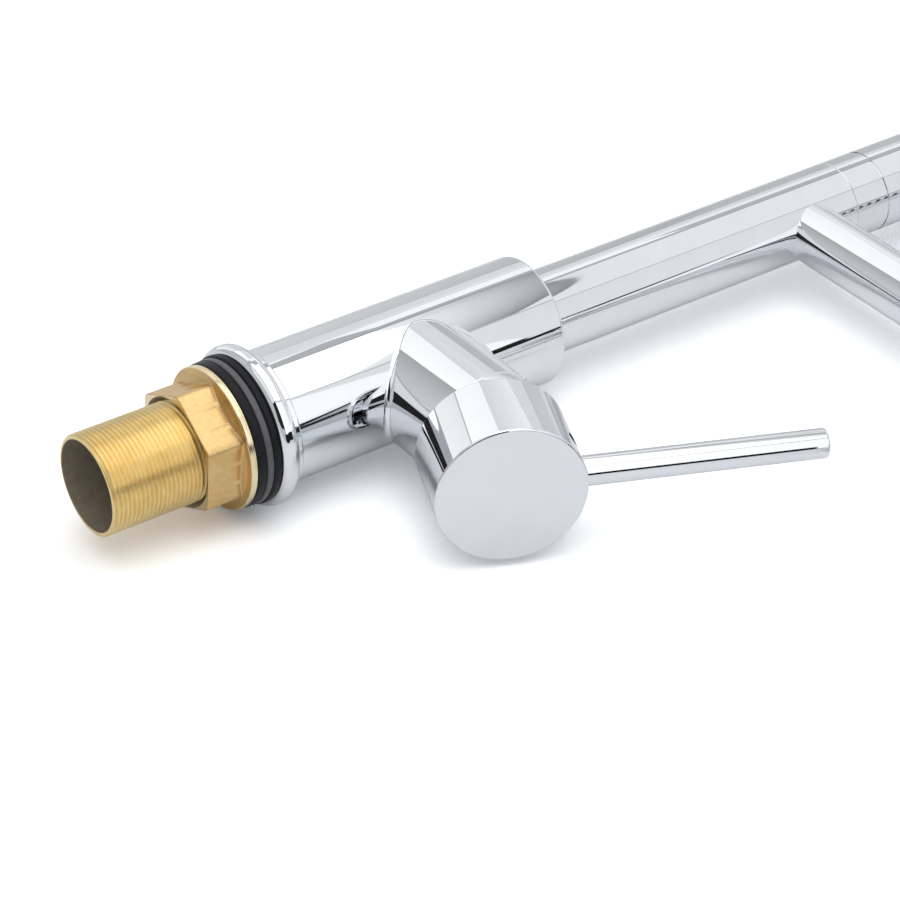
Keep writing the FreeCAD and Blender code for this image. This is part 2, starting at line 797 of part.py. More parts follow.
def riser():
    inner = "riser_radius - riser_wall"
    node("riser_tube", turned("riser_tube", [
        (inner, "foot_top"),
        ("riser_radius", "foot_top"),
        ("riser_radius", "riser_top", "seam_round"),
        (inner, "riser_top"),
    ]))
    spigot = inner + " - press_gap"
    top = "riser_top + joint_ring_height"
    bore = spigot + " - riser_wall"
    node("joint_ring", turned("joint_ring", [
        (bore, "riser_top - joint_spigot"),
        (spigot, "riser_top - joint_spigot"),
        (spigot, "riser_top"),
        ("riser_radius", "riser_top", "seam_round"),
        ("riser_radius", top + " - seam_groove"),
        ("riser_radius - seam_groove", top + " - seam_groove"),
        ("riser_radius - seam_groove", top),
        (bore, top),
    ]))
    high = top + " + collar_height"
    ledge = top + " + nipple_flange + press_gap"
    hole = "hose_radius + hose_play"
    node("upper_collar", turned("upper_collar", [
        (inner, top),
        ("riser_radius", top),
        ("riser_radius", high + " + spring_cup"),
        (CUP_RADIUS, high + " + spring_cup"),
        (CUP_RADIUS, high),
        (hole, high),
        (hole, ledge),
        (inner, ledge),
    ]))
    node("hose_nipple", turned("hose_nipple", [
        ("nipple_bore", top),
        (inner + " - press_gap", top),
        (inner + " - press_gap", top + " + nipple_flange"),
        ("nipple_radius", top + " + nipple_flange"),
        ("nipple_radius", top + " + nipple_flange + nipple_length"),
        ("nipple_bore", top + " + nipple_flange + nipple_length"),
    ]))


# Holder arm with its open cradle
def holder():
    boss_start = "arm_reach - cradle_radius - cradle_boss_length"
    tube_end = boss_start + " + arm_insert"
    axis = ("0", "0", "arm_height")
    outside = round_block("arm_outside", "arm_radius", tube_end, axis, ALONG_BARREL)
    inside = round_block("arm_inside", "arm_radius - arm_wall", tube_end, axis, ALONG_BARREL)
    underside = ("0", "0", "arm_height - arm_radius")
    column = round_block("arm_saddle", "riser_radius", "arm_radius * 2", underside)
    node("arm_tube", cut("arm_tube", outside, joined("arm_cuts", inside, column)))
    low = "arm_height - cradle_height / 2"
    ring = round_block("cradle_ring", "cradle_radius", "cradle_height", ("arm_reach", "0", low))
    boss = round_block(
        "cradle_boss",
        "cradle_boss_radius",
        "cradle_radius + cradle_boss_length",
        (boss_start, "0", "arm_height"),
        ALONG_BARREL,
    )
    below = ("arm_reach", "0", low + " - cradle_height")
    seat = round_block("cradle_seat", "cradle_bore", "cradle_height * 3", below)
    mouth = doc.addObject("Part::Box", "cradle_mouth")
    mouth.setExpression("Length", bound("cradle_radius * 2"))
    mouth.setExpression("Width", bound("cradle_bore * 2"))
    mouth.setExpression("Height", bound("cradle_height * 3"))
    place(mouth, ("arm_reach", "-cradle_bore", low + " - cradle_height"))
    arm_hole = round_block(
        "arm_hole", "arm_radius + press_gap", "arm_insert", (boss_start, "0", "arm_height"), ALONG_BARREL
    )
    pocket_end = "arm_reach - cradle_bore - magnet_cover"
    pocket = round_block(
        "magnet_pocket",
        "magnet_radius + press_gap",
        pocket_end + " - arm_reach + cradle_radius + cradle_boss_length - arm_insert",
        (tube_end, "0", "arm_height"),
        ALONG_BARREL,
    )
    cuts = joined("cradle_cuts", seat, mouth, arm_hole, pocket)
    node("holder_cradle", cut("holder_cradle", joined("cradle_solid", ring, boss), cuts))
    magnet = round_block(
        "holder_magnet",
        "magnet_radius",
        "magnet_thickness",
        (pocket_end + " - magnet_thickness", "0", "arm_height"),
        ALONG_BARREL,
    )
    node("holder_magnet", magnet)


# Spring and hose over the arch
class Arch:
    """The line of the hose: up from the collar, half a circle, and down to the spray."""

    def __init__(self, start, end):
        self.start = start
        self.end = end
        self.radius = SIZE["arm_reach"] / 2
        self.rise = SIZE["arch_height"] - start
        self.bend = math.pi * self.radius
        self.length = self.rise + self.bend + SIZE["arch_height"] - end

    def frame(self, along):
        """The point, the direction and the inward normal at a distance along the line."""
        if along <= self.rise:
            return Vector(0, 0, self.start + along), Vector(0, 0, 1), Vector(1, 0, 0)
        if along >= self.rise + self.bend:
            down = SIZE["arch_height"] - (along - self.rise - self.bend)
            return Vector(SIZE["arm_reach"], 0, down), Vector(0, 0, -1), Vector(-1, 0, 0)
        angle = (along - self.rise) / self.radius
        inward = Vector(math.cos(angle), 0, -math.sin(angle))
        ahead = Vector(math.sin(angle), 0, math.cos(angle))
        centre = Vector(self.radius, 0, SIZE["arch_height"])
        return centre - inward * self.radius, ahead, inward

    def wire(self):
        """The line itself, from straight runs and one half circle."""
        top = SIZE["arch_height"]
        reach = SIZE["arm_reach"]
        rise = [Vector(0, 0, self.start), Vector(0, 0, top)]
        points = rise + [Vector(reach, 0, top), Vector(reach, 0, self.end)]
        crown = Vector(self.radius, 0, top + self.radius)
        bend = Part.Arc(points[1], crown, points[2]).toShape()
        return Part.Wire([Part.makeLine(points[0], points[1]), bend, Part.makeLine(points[2], points[3])])


def outlet_hose():
    start = SIZE["riser_top"] + SIZE["joint_ring_height"] + SIZE["nipple_flange"] + SIZE["press_gap"]
    end = SIZE["spray_top"] - SIZE["ferrule_height"] + SIZE["shell_neck_height"] + SIZE["nipple_flange"]
    line = Arch(start, end)
    path = line.wire()
    solids = []
    for radius in (SIZE["hose_radius"], SIZE["hose_radius"] - SIZE["hose_wall"]):
        circle = Part.Wire([Part.makeCircle(radius, Vector(0, 0, start), Vector(0, 0, 1))])
        solids.append(path.makePipeShell([circle], True, False))
    hose = doc.addObject("Part::Feature", "outlet_hose")
    hose.Shape = solids[0].cut(solids[1])
    section = math.pi * (SIZE["hose_radius"] ** 2 - (SIZE["hose_radius"] - SIZE["hose_wall"]) ** 2)
    ratio = hose.Shape.Volume / section / line.length
    print("hose length", round(line.length, 1), "volume ratio", round(ratio, 5))
    node("outlet_hose", hose)


def arc_edge(start, direction, end):
    """An arc that leaves a point in a direction and ends at another point."""
    chord = end - start
    half = chord.Length / 2
    along = Vector(chord).normalize()
    side = direction - along * direction.dot(along)
    if side.Length < 1e-6:
        return Part.makeLine(start, end)
    angle = math.atan2(side.Length, direction.dot(along))
    middle = start + chord * 0.5 + Vector(side).normalize() * (half * math.tan(angle / 2))
    return Part.Arc(start, middle, end).toShape()


def biarc(start, ahead, end, beyond):
    """Two arcs that meet smoothly, from one point and direction to another."""
    chord = end - start
    total = ahead + beyond
    square = 2 * (1 - ahead.dot(beyond))
    lean = chord.dot(total)
    if square < 1e-9:
        reach = chord.dot(chord) / (4 * chord.dot(beyond))
    else:
        reach = (-lean + math.sqrt(lean * lean + square * chord.dot(chord))) / square
    first = start + ahead * reach
    last = end - beyond * reach
    middle = (first + last) * 0.5
    turned_ahead = (last - first).normalize()
    return [arc_edge(start, ahead, middle), arc_edge(middle, turned_ahead, end)]


def guide_spring():
    """One unbroken wire wound about the hose, with straight ends square to the collar and the ferrule."""
    wire = SIZE["spring_wire"]
    start = SIZE["riser_top"] + SIZE["joint_ring_height"] + SIZE["collar_height"]
    line = Arch(start, SIZE["spray_top"])
    lead = SIZE["spring_lead"]
    turns = int(SIZE["spring_turns"])
    wound = line.length - 2 * lead
    pitch = wound / turns
    steps = 4 * turns

    def coil_point(step):
        along = lead + wound * step / steps
        centre, ahead, inward = line.frame(along)
        sideways = ahead.cross(inward)
        angle = math.pi / 2 * step
        radial = inward * math.cos(angle) + sideways * math.sin(angle)
        around = sideways * math.cos(angle) - inward * math.sin(angle)
        place_at = centre + radial * SIZE["spring_radius"]
        local_pitch = pitch
        if line.rise < along < line.rise + line.bend:
            local_pitch = pitch * (1 - radial.dot(inward) * SIZE["spring_radius"] / line.radius)
        direction = around * (math.tau * SIZE["spring_radius"]) + ahead * local_pitch
        return place_at, direction.normalize()

    points = [coil_point(step) for step in range(steps + 1)]
    edges = []
    foot, rising, inward = line.frame(0.0)
    tail, falling, outward = line.frame(line.length)
    swing = math.radians(SIZE["spring_end_swing"])
    for end_point, along, side, sign in ((foot, rising, inward, -1), (tail, falling, outward, 1)):
        around = along.cross(side) * (sign * math.sin(swing))
        seat = end_point + (side * math.cos(swing) + around) * SIZE["spring_radius"]
        clear = seat - along * (sign * wire)
        if sign < 0:
            edges.append(Part.makeLine(seat, clear))
            edges += biarc(clear, along, *points[0])
            for first, last in zip(points, points[1:]):
                edges += biarc(*first, *last)
        else:
            edges += biarc(*points[-1], clear, along)
            edges.append(Part.makeLine(clear, seat))
    spine = Part.Wire(edges)
    begin = edges[0].Vertexes[0].Point
    section = Part.Wire([Part.makeCircle(wire / 2, begin, rising)])
    spring = doc.addObject("Part::Feature", "guide_spring")
    spring.Shape = spine.makePipeShell([section], True, False)
    area = math.pi * wire * wire / 4
    print("spring edges", len(edges), "volume ratio", round(spring.Shape.Volume / area / spine.Length, 5))
    samples = [line_point for line_point, direction in points]
    gaps = []
    for index, sample in enumerate(samples):
        for other in samples[index + 3:index + 6]:
            gaps.append((sample - other).Length - wire)
    print("spring least gap", round(min(gaps), 3), "pitch", round(pitch, 3))
    node("guide_spring", spring)


# Spray head
SPRAY_ORIGIN = ("arm_reach", "0", "0")
SHELL_TOP = "spray_top - ferrule_height + shell_neck_height"
DOCK_TOP = "arm_height + cradle_height / 2"
DOCK_LOW = "arm_height - cradle_height / 2 - dock_drop"
FACE_TOP = "spray_bottom + face_plate_thickness"


def spray_couplings():
    hole = "hose_radius + hose_play"
    inner = "shell_neck_radius + press_gap"
    low = "spray_top - ferrule_height"
    ledge = SHELL_TOP + " + nipple_flange + press_gap"
    ferrule = turned("spray_ferrule", [
        (inner, low),
        ("ferrule_radius - ferrule_taper", low),
        ("ferrule_radius", "spray_top - ferrule_height / 2"),
        ("ferrule_radius", "spray_top + spring_cup"),
        (CUP_RADIUS, "spray_top + spring_cup"),
        (CUP_RADIUS, "spray_top"),
        (hole, "spray_top"),
        (hole, ledge),
        (inner, ledge),
    ])
    node("spray_ferrule", place(ferrule, SPRAY_ORIGIN))
    nipple = turned("spray_nipple", [
        ("nipple_bore", SHELL_TOP),
        ("shell_neck_radius", SHELL_TOP),
        ("shell_neck_radius", SHELL_TOP + " + nipple_flange"),
        ("nipple_radius", SHELL_TOP + " + nipple_flange"),
        ("nipple_radius", SHELL_TOP + " + nipple_flange + nipple_length"),
        ("nipple_bore", SHELL_TOP + " + nipple_flange + nipple_length"),
    ])
    node("spray_nipple", place(nipple, SPRAY_ORIGIN))


def spray_shell():
    body = turned(
        "spray_turning",
        [
            ("waterway_radius", "face_cavity_top + face_cavity_radius"),
            ("face_cavity_radius", "face_cavity_top"),
            ("face_cavity_radius", "spray_bottom"),
            ("head_radius - head_taper", "spray_bottom"),
            ("head_radius", "head_end"),
            ("grip_radius", "head_start"),
            ("grip_radius", DOCK_LOW),
            ("dock_neck_radius", DOCK_LOW),
            ("dock_neck_radius", DOCK_TOP),
            ("dock_collar_radius", DOCK_TOP),
            ("dock_collar_radius", DOCK_TOP + " + dock_collar_height", "dock_collar_height / 4"),
            ("grip_radius", DOCK_TOP + " + dock_collar_height"),
            ("ferrule_radius - ferrule_taper", "spray_top - ferrule_height"),
            ("shell_neck_radius", "spray_top - ferrule_height"),
            ("shell_neck_radius", SHELL_TOP),
            ("waterway_radius", SHELL_TOP),
        ],
    )
    button_hole = round_block(
        "button_hole",
        "button_radius + button_fit",
        "grip_radius",
        ("button_seat", "0", "button_height"),
        ALONG_BARREL,
    )
    spool_hole = round_block(
        "spool_hole", "spool_radius + button_fit", "button_seat", ("0", "0", "button_height"), ALONG_BARREL
    )
    shell = cut("spray_shell", body, joined("spray_cuts", button_hole, spool_hole))
    node("spray_shell", place(shell, SPRAY_ORIGIN))


def spray_face():
    plate = new_body("face_plate")
    sketch = new_sketch(plate, "face_outline", "XY_Plane")
    for radius in ("face_cavity_radius - press_gap", "aerator_radius + press_gap"):
        index = sketch.addGeometry(Part.Circle(Vector(0, 0, 0), Vector(0, 0, 1), 10))
        sketch.addConstraint(Sketcher.Constraint("Coincident", index, 3, -1, 1))
        number = sketch.addConstraint(Sketcher.Constraint("Radius", index, 10.0 + index))
        sketch.setExpression("Constraints[%d]" % number, bound(radius))
    pad = plate.newObject("PartDesign::Pad", "face_pad")
    pad.Profile = sketch
    pad.setExpression("Length", bound("face_plate_thickness"))
    doc.recompute()
    holes = new_sketch(plate, "nozzle_outline", "XY_Plane")
    hole = holes.addGeometry(Part.Circle(Vector(15, 0, 0), Vector(0, 0, 1), 1))
    holes.addConstraint(Sketcher.Constraint("PointOnObject", hole, 3, -1))
    number = holes.addConstraint(Sketcher.Constraint("DistanceX", -1, 1, hole, 3, 15.0))
    holes.setExpression("Constraints[%d]" % number, bound("nozzle_circle"))
    number = holes.addConstraint(Sketcher.Constraint("Radius", hole, 1.0))
    holes.setExpression("Constraints[%d]" % number, bound("nozzle_radius"))
    whole = plate.Shape.Volume
    pocket = plate.newObject("PartDesign::Pocket", "nozzle_hole")
    pocket.Profile = holes
    pocket.Reversed = True
    pocket.Type = "ThroughAll"
    doc.recompute()
    pattern = plate.newObject("PartDesign::PolarPattern", "nozzle_ring_of_holes")
    pattern.Originals = [pocket]
    pattern.Axis = (holes, ["N_Axis"])
    pattern.Angle = 360
    pattern.Occurrences = int(SIZE["nozzle_count"])
    plate.Tip = pattern
    doc.recompute()
    print("nozzle holes cut away", round(whole - plate.Shape.Volume, 2))
    node("spray_face_plate", place(plate, ("arm_reach", "0", "spray_bottom")))
    mat = turned("nozzle_mat", tube(
        "face_cavity_radius - press_gap",
        "aerator_radius + press_gap",
        FACE_TOP,
        FACE_TOP + " + nozzle_mat_thickness",
    ))
    node("nozzle_mat", place(mat, SPRAY_ORIGIN))
    low = "spray_bottom - aerator_proud"
    cup = turned("aerator", [
        ("aerator_radius / 3", low),
        ("aerator_radius", low),
        ("aerator_radius", low + " + aerator_height"),
        ("aerator_radius / 2", low + " + aerator_height"),
        ("aerator_radius / 2", low + " + aerator_height / 2"),
        ("aerator_radius / 3", low + " + aerator_height / 2"),
    ])
    node("aerator", place(cup, SPRAY_ORIGIN))
    valve = turned("check_valve", tube(
        "check_valve_radius",
        "check_valve_radius / 2",
        "check_valve_top - check_valve_height",
        "check_valve_top",
    ))
    node("check_valve", place(valve, SPRAY_ORIGIN))


def spray_controls():
    """The push button with its spool and return spring, lying along X."""
    at = ("arm_reach", "0", "button_height")
    back = "button_seat + button_spring_height"
    front = "grip_radius + button_proud"
    button = turned(
        "spray_button",
        [("0", back), ("button_radius", back), ("button_radius", front, "button_proud / 2"), ("0", front)],
    )
    node("spray_button", place(button, at, ALONG_BARREL))
    spool = round_block(
        "diverter_spool",
        "spool_radius",
        "button_seat + button_spring_height + spool_reach",
        ("arm_reach - spool_reach", "0", "button_height"),
        ALONG_BARREL,
    )
    node("diverter_spool", spool)
    wall = tube("button_spring_radius", "spool_radius + button_fit", "button_seat", back)
    coil = turned("button_spring", wall)
    node("button_spring", place(coil, at, ALONG_BARREL))


shank()
worktop_rings()
mounting_nut()
mixer_body()
base_ring()
cartridge_fixed()
bonnet()
cartridge_moving()
carrier()
lever_stem()
handle_cap()
lever_rod()
grub_screw()
swivel()
riser()
holder()
outlet_hose()
guide_spring()
spray_couplings()
spray_shell()
spray_face()
spray_controls()
doc.recompute()

# Every object has to be sound before anything is written
for item in doc.Objects:
    if "Invalid" in item.State or "Error" in item.State:
        raise RuntimeError("%s failed: %s" % (item.Label, item.State))
for name, item in nodes.items():
    if item.Shape.isNull() or not item.Shape.isValid():
        raise RuntimeError("%s has no valid shape" % name)

os.makedirs("parts", exist_ok=True)
for name, item in nodes.items():
    item.Shape.exportStep("parts/%s.step" % name)
print("pieces written", len(nodes))
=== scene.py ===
# %% [markdown]
# # A pull-out kitchen faucet, in chrome and raw brass
#
# The faucet lies on a white table. Its deck fixing points at the viewer's left, and the riser runs
# out of the picture at the upper right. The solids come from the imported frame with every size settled,
# so this lesson is about what a solid can't carry: thread, cast skin, wound wire, plating and light.
#
# Everything is in metres. Z runs up the column, X runs out along the side barrel, and the table is
# square to Y.

# %% Load the frame
import json
import math

import bmesh
import bpy
from mathutils import Matrix, Vector

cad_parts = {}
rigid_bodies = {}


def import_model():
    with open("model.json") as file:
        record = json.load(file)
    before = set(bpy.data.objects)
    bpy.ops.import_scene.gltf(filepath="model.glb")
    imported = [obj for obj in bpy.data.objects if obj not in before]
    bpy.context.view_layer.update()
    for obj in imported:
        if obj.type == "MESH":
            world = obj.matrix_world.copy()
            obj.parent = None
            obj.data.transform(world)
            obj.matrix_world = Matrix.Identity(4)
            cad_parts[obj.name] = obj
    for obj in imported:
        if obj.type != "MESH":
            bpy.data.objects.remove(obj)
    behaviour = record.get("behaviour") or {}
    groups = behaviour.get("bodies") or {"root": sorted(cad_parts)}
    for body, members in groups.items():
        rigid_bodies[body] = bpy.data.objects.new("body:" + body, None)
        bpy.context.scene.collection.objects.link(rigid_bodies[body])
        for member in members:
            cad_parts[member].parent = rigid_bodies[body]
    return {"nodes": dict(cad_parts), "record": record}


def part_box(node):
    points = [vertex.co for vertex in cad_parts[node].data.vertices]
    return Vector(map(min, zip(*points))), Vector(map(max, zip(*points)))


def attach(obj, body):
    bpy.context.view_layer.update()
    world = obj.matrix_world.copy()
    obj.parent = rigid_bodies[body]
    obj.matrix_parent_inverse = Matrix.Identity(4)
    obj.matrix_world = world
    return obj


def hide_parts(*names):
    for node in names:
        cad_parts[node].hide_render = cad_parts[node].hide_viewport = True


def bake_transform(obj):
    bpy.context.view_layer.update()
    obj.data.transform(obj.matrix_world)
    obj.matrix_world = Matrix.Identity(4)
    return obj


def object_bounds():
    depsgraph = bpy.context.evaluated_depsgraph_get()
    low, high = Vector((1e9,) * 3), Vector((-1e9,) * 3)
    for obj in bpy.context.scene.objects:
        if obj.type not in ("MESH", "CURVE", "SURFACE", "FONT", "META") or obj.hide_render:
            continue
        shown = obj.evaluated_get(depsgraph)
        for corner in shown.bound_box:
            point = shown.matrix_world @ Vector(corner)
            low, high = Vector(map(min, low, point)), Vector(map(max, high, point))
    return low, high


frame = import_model()
cad_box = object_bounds()
scene = bpy.context.scene
scene.view_settings.view_transform = "Standard"
MM = 0.001

# %% [markdown]
# ## The camera
#
# A product picture like this one is taken with a long lens from well above the table, which keeps the
# column's sides nearly parallel. The place, the aim and the small roll were found by matching rims whose
# real sizes are known, such as the shank's mouth and the two seams on the riser.

# %% Set the camera
camera_place = Vector((0.6793, -0.5406, -0.4192))
camera_aim = Vector((0.0457, 0.0, 0.0477))
camera_roll = math.radians(0.88)
camera_lens = 127.8
ahead = (camera_aim - camera_place).normalized()
across_view = ahead.cross(Vector((0, -1, 0))).normalized()
stance = Matrix((across_view, across_view.cross(ahead), -ahead)).transposed().to_4x4()
camera = bpy.data.objects.new("table_camera", bpy.data.cameras.new("table_camera"))
camera.matrix_world = Matrix.Translation(camera_place) @ stance @ Matrix.Rotation(camera_roll, 4, "Z")
camera.data.lens = camera_lens
scene.collection.objects.link(camera)
scene.camera = camera
print("camera stands", round((camera_aim - camera_place).length, 3), "m away")

# %% [markdown]
# ## Table, lamps and room
#
# Polished chrome has almost no colour of its own. What it shows is the room, so the room is planned as
# carefully as the faucet: a white table, a bright panel overhead, a tent of lit cloth round both, and dark
# openings on the right that draw the thin black streaks along the column.
#
# The table glows a little for the camera and for mirrors only. That keeps it white in the picture
# without throwing more light on the faucet, and its shadows stay.


# %% Lay the table
def flat_card(name, place, facing, width, height):
    """A rectangle that faces a direction, its width level with the table."""
    bm = bmesh.new()
    bmesh.ops.create_grid(bm, x_segments=1, y_segments=1, size=0.5)
    mesh = bpy.data.meshes.new(name)
    bm.to_mesh(mesh)
    bm.free()
    card = bpy.data.objects.new(name, mesh)
    turn = Vector(facing).to_track_quat("Z", "Y").to_matrix().to_4x4()
    card.matrix_world = Matrix.Translation(place) @ turn @ Matrix.Diagonal((width, height, 1, 1))
    scene.collection.objects.link(card)
    return card


def table_white(seen_gain, seen_glow, mirrored_glow):
    """Matte white that glows for the camera and mirrors, and lets a camera under the table look through."""
    material = bpy.data.materials.new("table_white")
    material.use_nodes = True
    nodes = material.node_tree.nodes
    links = material.node_tree.links
    nodes.clear()
    paint = nodes.new("ShaderNodeBsdfDiffuse")
    light = nodes.new("ShaderNodeLightPath")
    tone = nodes.new("ShaderNodeMix")
    tone.data_type = "RGBA"
    tone.inputs["A"].default_value = (0.84, 0.85, 0.86, 1)
    tone.inputs["B"].default_value = (seen_gain, seen_gain, seen_gain, 1)
    links.new(light.outputs["Is Camera Ray"], tone.inputs["Factor"])
    links.new(tone.outputs["Result"], paint.inputs["Color"])
    mirrored = nodes.new("ShaderNodeMath")
    mirrored.operation = "MULTIPLY"
    mirrored.inputs[1].default_value = mirrored_glow
    links.new(light.outputs["Is Glossy Ray"], mirrored.inputs[0])
    glow = nodes.new("ShaderNodeMath")
    glow.operation = "MULTIPLY_ADD"
    glow.inputs[1].default_value = seen_glow
    links.new(light.outputs["Is Camera Ray"], glow.inputs[0])
    links.new(mirrored.outputs[0], glow.inputs[2])
    shine = nodes.new("ShaderNodeEmission")
    links.new(glow.outputs[0], shine.inputs["Strength"])
    both = nodes.new("ShaderNodeAddShader")
    links.new(paint.outputs[0], both.inputs[0])
    links.new(shine.outputs[0], both.inputs[1])
    side = nodes.new("ShaderNodeNewGeometry")
    clear = nodes.new("ShaderNodeBsdfTransparent")
    choice = nodes.new("ShaderNodeMixShader")
    links.new(side.outputs["Backfacing"], choice.inputs["Fac"])
    links.new(both.outputs[0], choice.inputs[1])
    links.new(clear.outputs[0], choice.inputs[2])
    result = nodes.new("ShaderNodeOutputMaterial")
    links.new(choice.outputs[0], result.inputs["Surface"])
    return material


table_level = cad_box[1].y + 0.2 * MM
table_side = 2.4
table = flat_card("table_top", (0.1, table_level, 0.2), (0, -1, 0), table_side, table_side)
table.data.materials.append(table_white(seen_gain=1.4, seen_glow=0.05, mirrored_glow=0.02))
print("table lies at y =", round(table_level, 4))

# %% [markdown]
# Two lamps do the lighting. The ceiling panel is part of what the chrome shows, so it hangs close and its
# edges are straight. The table lamp stands further off. It lights the table and the matte pieces and gives
# the shadows their side, and polished metal doesn't show it.


# %% Hang the softboxes
def softbox(name, place, aim, width, height, radiance, mirrored=True):
    """A rectangular lamp of an even brightness; mirrored says whether polished metal shows it."""
    lamp = bpy.data.lights.new(name, "AREA")
    lamp.shape = "RECTANGLE"
    lamp.size = width
    lamp.size_y = height
    lamp.energy = radiance * math.pi * width * height
    holder = bpy.data.objects.new(name, lamp)
    turn = (aim - place).to_track_quat("-Z", "Y").to_matrix().to_4x4()
    holder.matrix_world = Matrix.Translation(place) @ turn
    holder.visible_camera = False
    holder.visible_glossy = mirrored
    scene.collection.objects.link(holder)


panel_low = Vector((-0.14, -0.33, -0.04))
panel_high = Vector((0.238, -0.33, 0.235))
panel_middle = (panel_low + panel_high) / 2
panel_size = panel_high - panel_low
panel_aim = panel_middle + Vector((0, 1, 0))
softbox("ceiling_panel", panel_middle, panel_aim, panel_size.x, panel_size.z, radiance=1.12)
lamp_place = Vector((0.35, -0.95, -0.2))
lamp_aim = Vector((0.05, 0.02, 0.1))
lamp_side = 0.9
softbox("table_lamp", lamp_place, lamp_aim, lamp_side, lamp_side, radiance=1.3, mirrored=False)
print("softboxes hung")

# %% [markdown]
# The tent is made of flat cards that only mirrors see. Each card is as bright as the strip of metal that
# shows it should look, and its brightness may run from one end to the other. Thin grey seams beside the
# panel and nearly black openings on the right give the metal its lines.


# %% Sew the tent
def even_cloth(name, near, far):
    """Lit cloth whose brightness runs from one end of the card to the other."""
    material = bpy.data.materials.new(name)
    material.use_nodes = True
    nodes = material.node_tree.nodes
    links = material.node_tree.links
    nodes.clear()
    place = nodes.new("ShaderNodeTexCoord")
    split = nodes.new("ShaderNodeSeparateXYZ")
    links.new(place.outputs["Generated"], split.inputs[0])
    fade = nodes.new("ShaderNodeMapRange")
    fade.inputs["To Min"].default_value = near
    fade.inputs["To Max"].default_value = far
    links.new(split.outputs["Y"], fade.inputs["Value"])
    cloth = nodes.new("ShaderNodeEmission")
    cloth.inputs["Color"].default_value = (0.97, 0.985, 1.0, 1)
    links.new(fade.outputs["Result"], cloth.inputs["Strength"])
    result = nodes.new("ShaderNodeOutputMaterial")
    links.new(cloth.outputs[0], result.inputs["Surface"])
    return material


def only_mirrored(card, material):
    """Dresses a card that polished metal sees and nothing else does."""
    card.data.materials.append(material)
    card.visible_camera = False
    card.visible_diffuse = False
    card.visible_shadow = False
    card.visible_transmission = False


def tent_card(name, low, high, facing, near, far):
    """A wall, seam or gap between two corners, its brightness running along Z."""
    low, high = Vector(low), Vector(high)
    size = high - low
    card = flat_card(name, (low + high) / 2, facing, max(size.x, size.y), size.z)
    only_mirrored(card, even_cloth(name, near, far))


wall = 0.45
back = 1.3
seam = panel_low.y - 0.002
left, right, down = (1, 0, 0), (-1, 0, 0), (0, 1, 0)
tent_card("left_wall_high", (-wall, -0.58, -0.1), (-wall, -0.265, 0.26), left, 1.2, 1.1)
tent_card("left_wall_crown", (-wall, -0.74, -0.1), (-wall, -0.58, 0.41), left, 1.15, 1.1)
tent_card("left_wall_far", (-wall, -0.4, 0.26), (-wall, -0.265, back), left, 0.83, 0.75)
tent_card("left_wall_top", (-wall, -0.58, 0.26), (-wall, -0.4, back), left, 0.8, 1.25)
tent_card("left_wall_low", (-wall, -0.255, -0.1), (-wall, 0.02, 0.5), left, 1.05, 0.5)
tent_card("left_wall_end", (-wall, -0.255, 0.5), (-wall, 0.02, back), left, 0.55, 0.75)
tent_card("left_hem", (-wall, -0.62, -0.5), (-wall, -0.2, -0.11), left, 0.7, 0.45)
tent_card("right_wall_near", (wall, -0.7, -0.05), (wall, -0.081, 0.36), right, 1.25, 1.12)
tent_card("right_wall_far", (wall, -0.7, 0.36), (wall, -0.055, back), right, 0.87, 0.8)
tent_card("gap_near", (wall, -0.081, -0.2), (wall, 0.008, 0.39), right, 0.015, 0.015)
tent_card("gap_far", (wall, -0.055, 0.39), (wall, 0.008, 0.6), right, 0.015, 0.5)
tent_card("opening_right", (wall, -0.62, -0.5), (wall, -0.13, -0.05), right, 0.02, 0.02)
tent_card("seam_left", (-0.15, seam, -0.04), (-0.14, seam, back), down, 0.4, 0.4)
tent_card("seam_right", (0.238, seam, -0.04), (0.256, seam, back), down, 0.6, 0.6)
tent_card("ceiling_shade", (-0.14, seam, 0.235), (0.238, seam, 0.33), down, 1.05, 0.3)
tent_card("ceiling_corner", (-0.28, seam, 0.25), (-0.185, seam, 0.43), down, 1.1, 1.1)
tent_card("ceiling_front", (-0.14, seam, -0.36), (0.238, seam, -0.09), down, 0.92, 0.92)
tent_card("ceiling_far", (-0.14, seam, 0.33), (0.238, seam, back), down, 0.92, 0.92)
opening = flat_card("opening_front", (0.37, -0.375, -0.5), (0, 0, 1), 0.18, 0.49)
only_mirrored(opening, even_cloth("opening_front", 0.02, 0.02))
behind = flat_card("back_wall", (0.0, -0.5, back), (0, 0, -1), 1.2, 1.0)
only_mirrored(behind, even_cloth("back_wall", 0.75, 0.75))
unseen = [thing for thing in scene.objects if not thing.visible_camera]
print("tent sewn from", len(unseen), "cards and lamps")

# %% [markdown]
# Whatever the tent leaves open shows the room, an even grey that is a little lighter half-way up. The camera
# sees plain white behind the faucet.


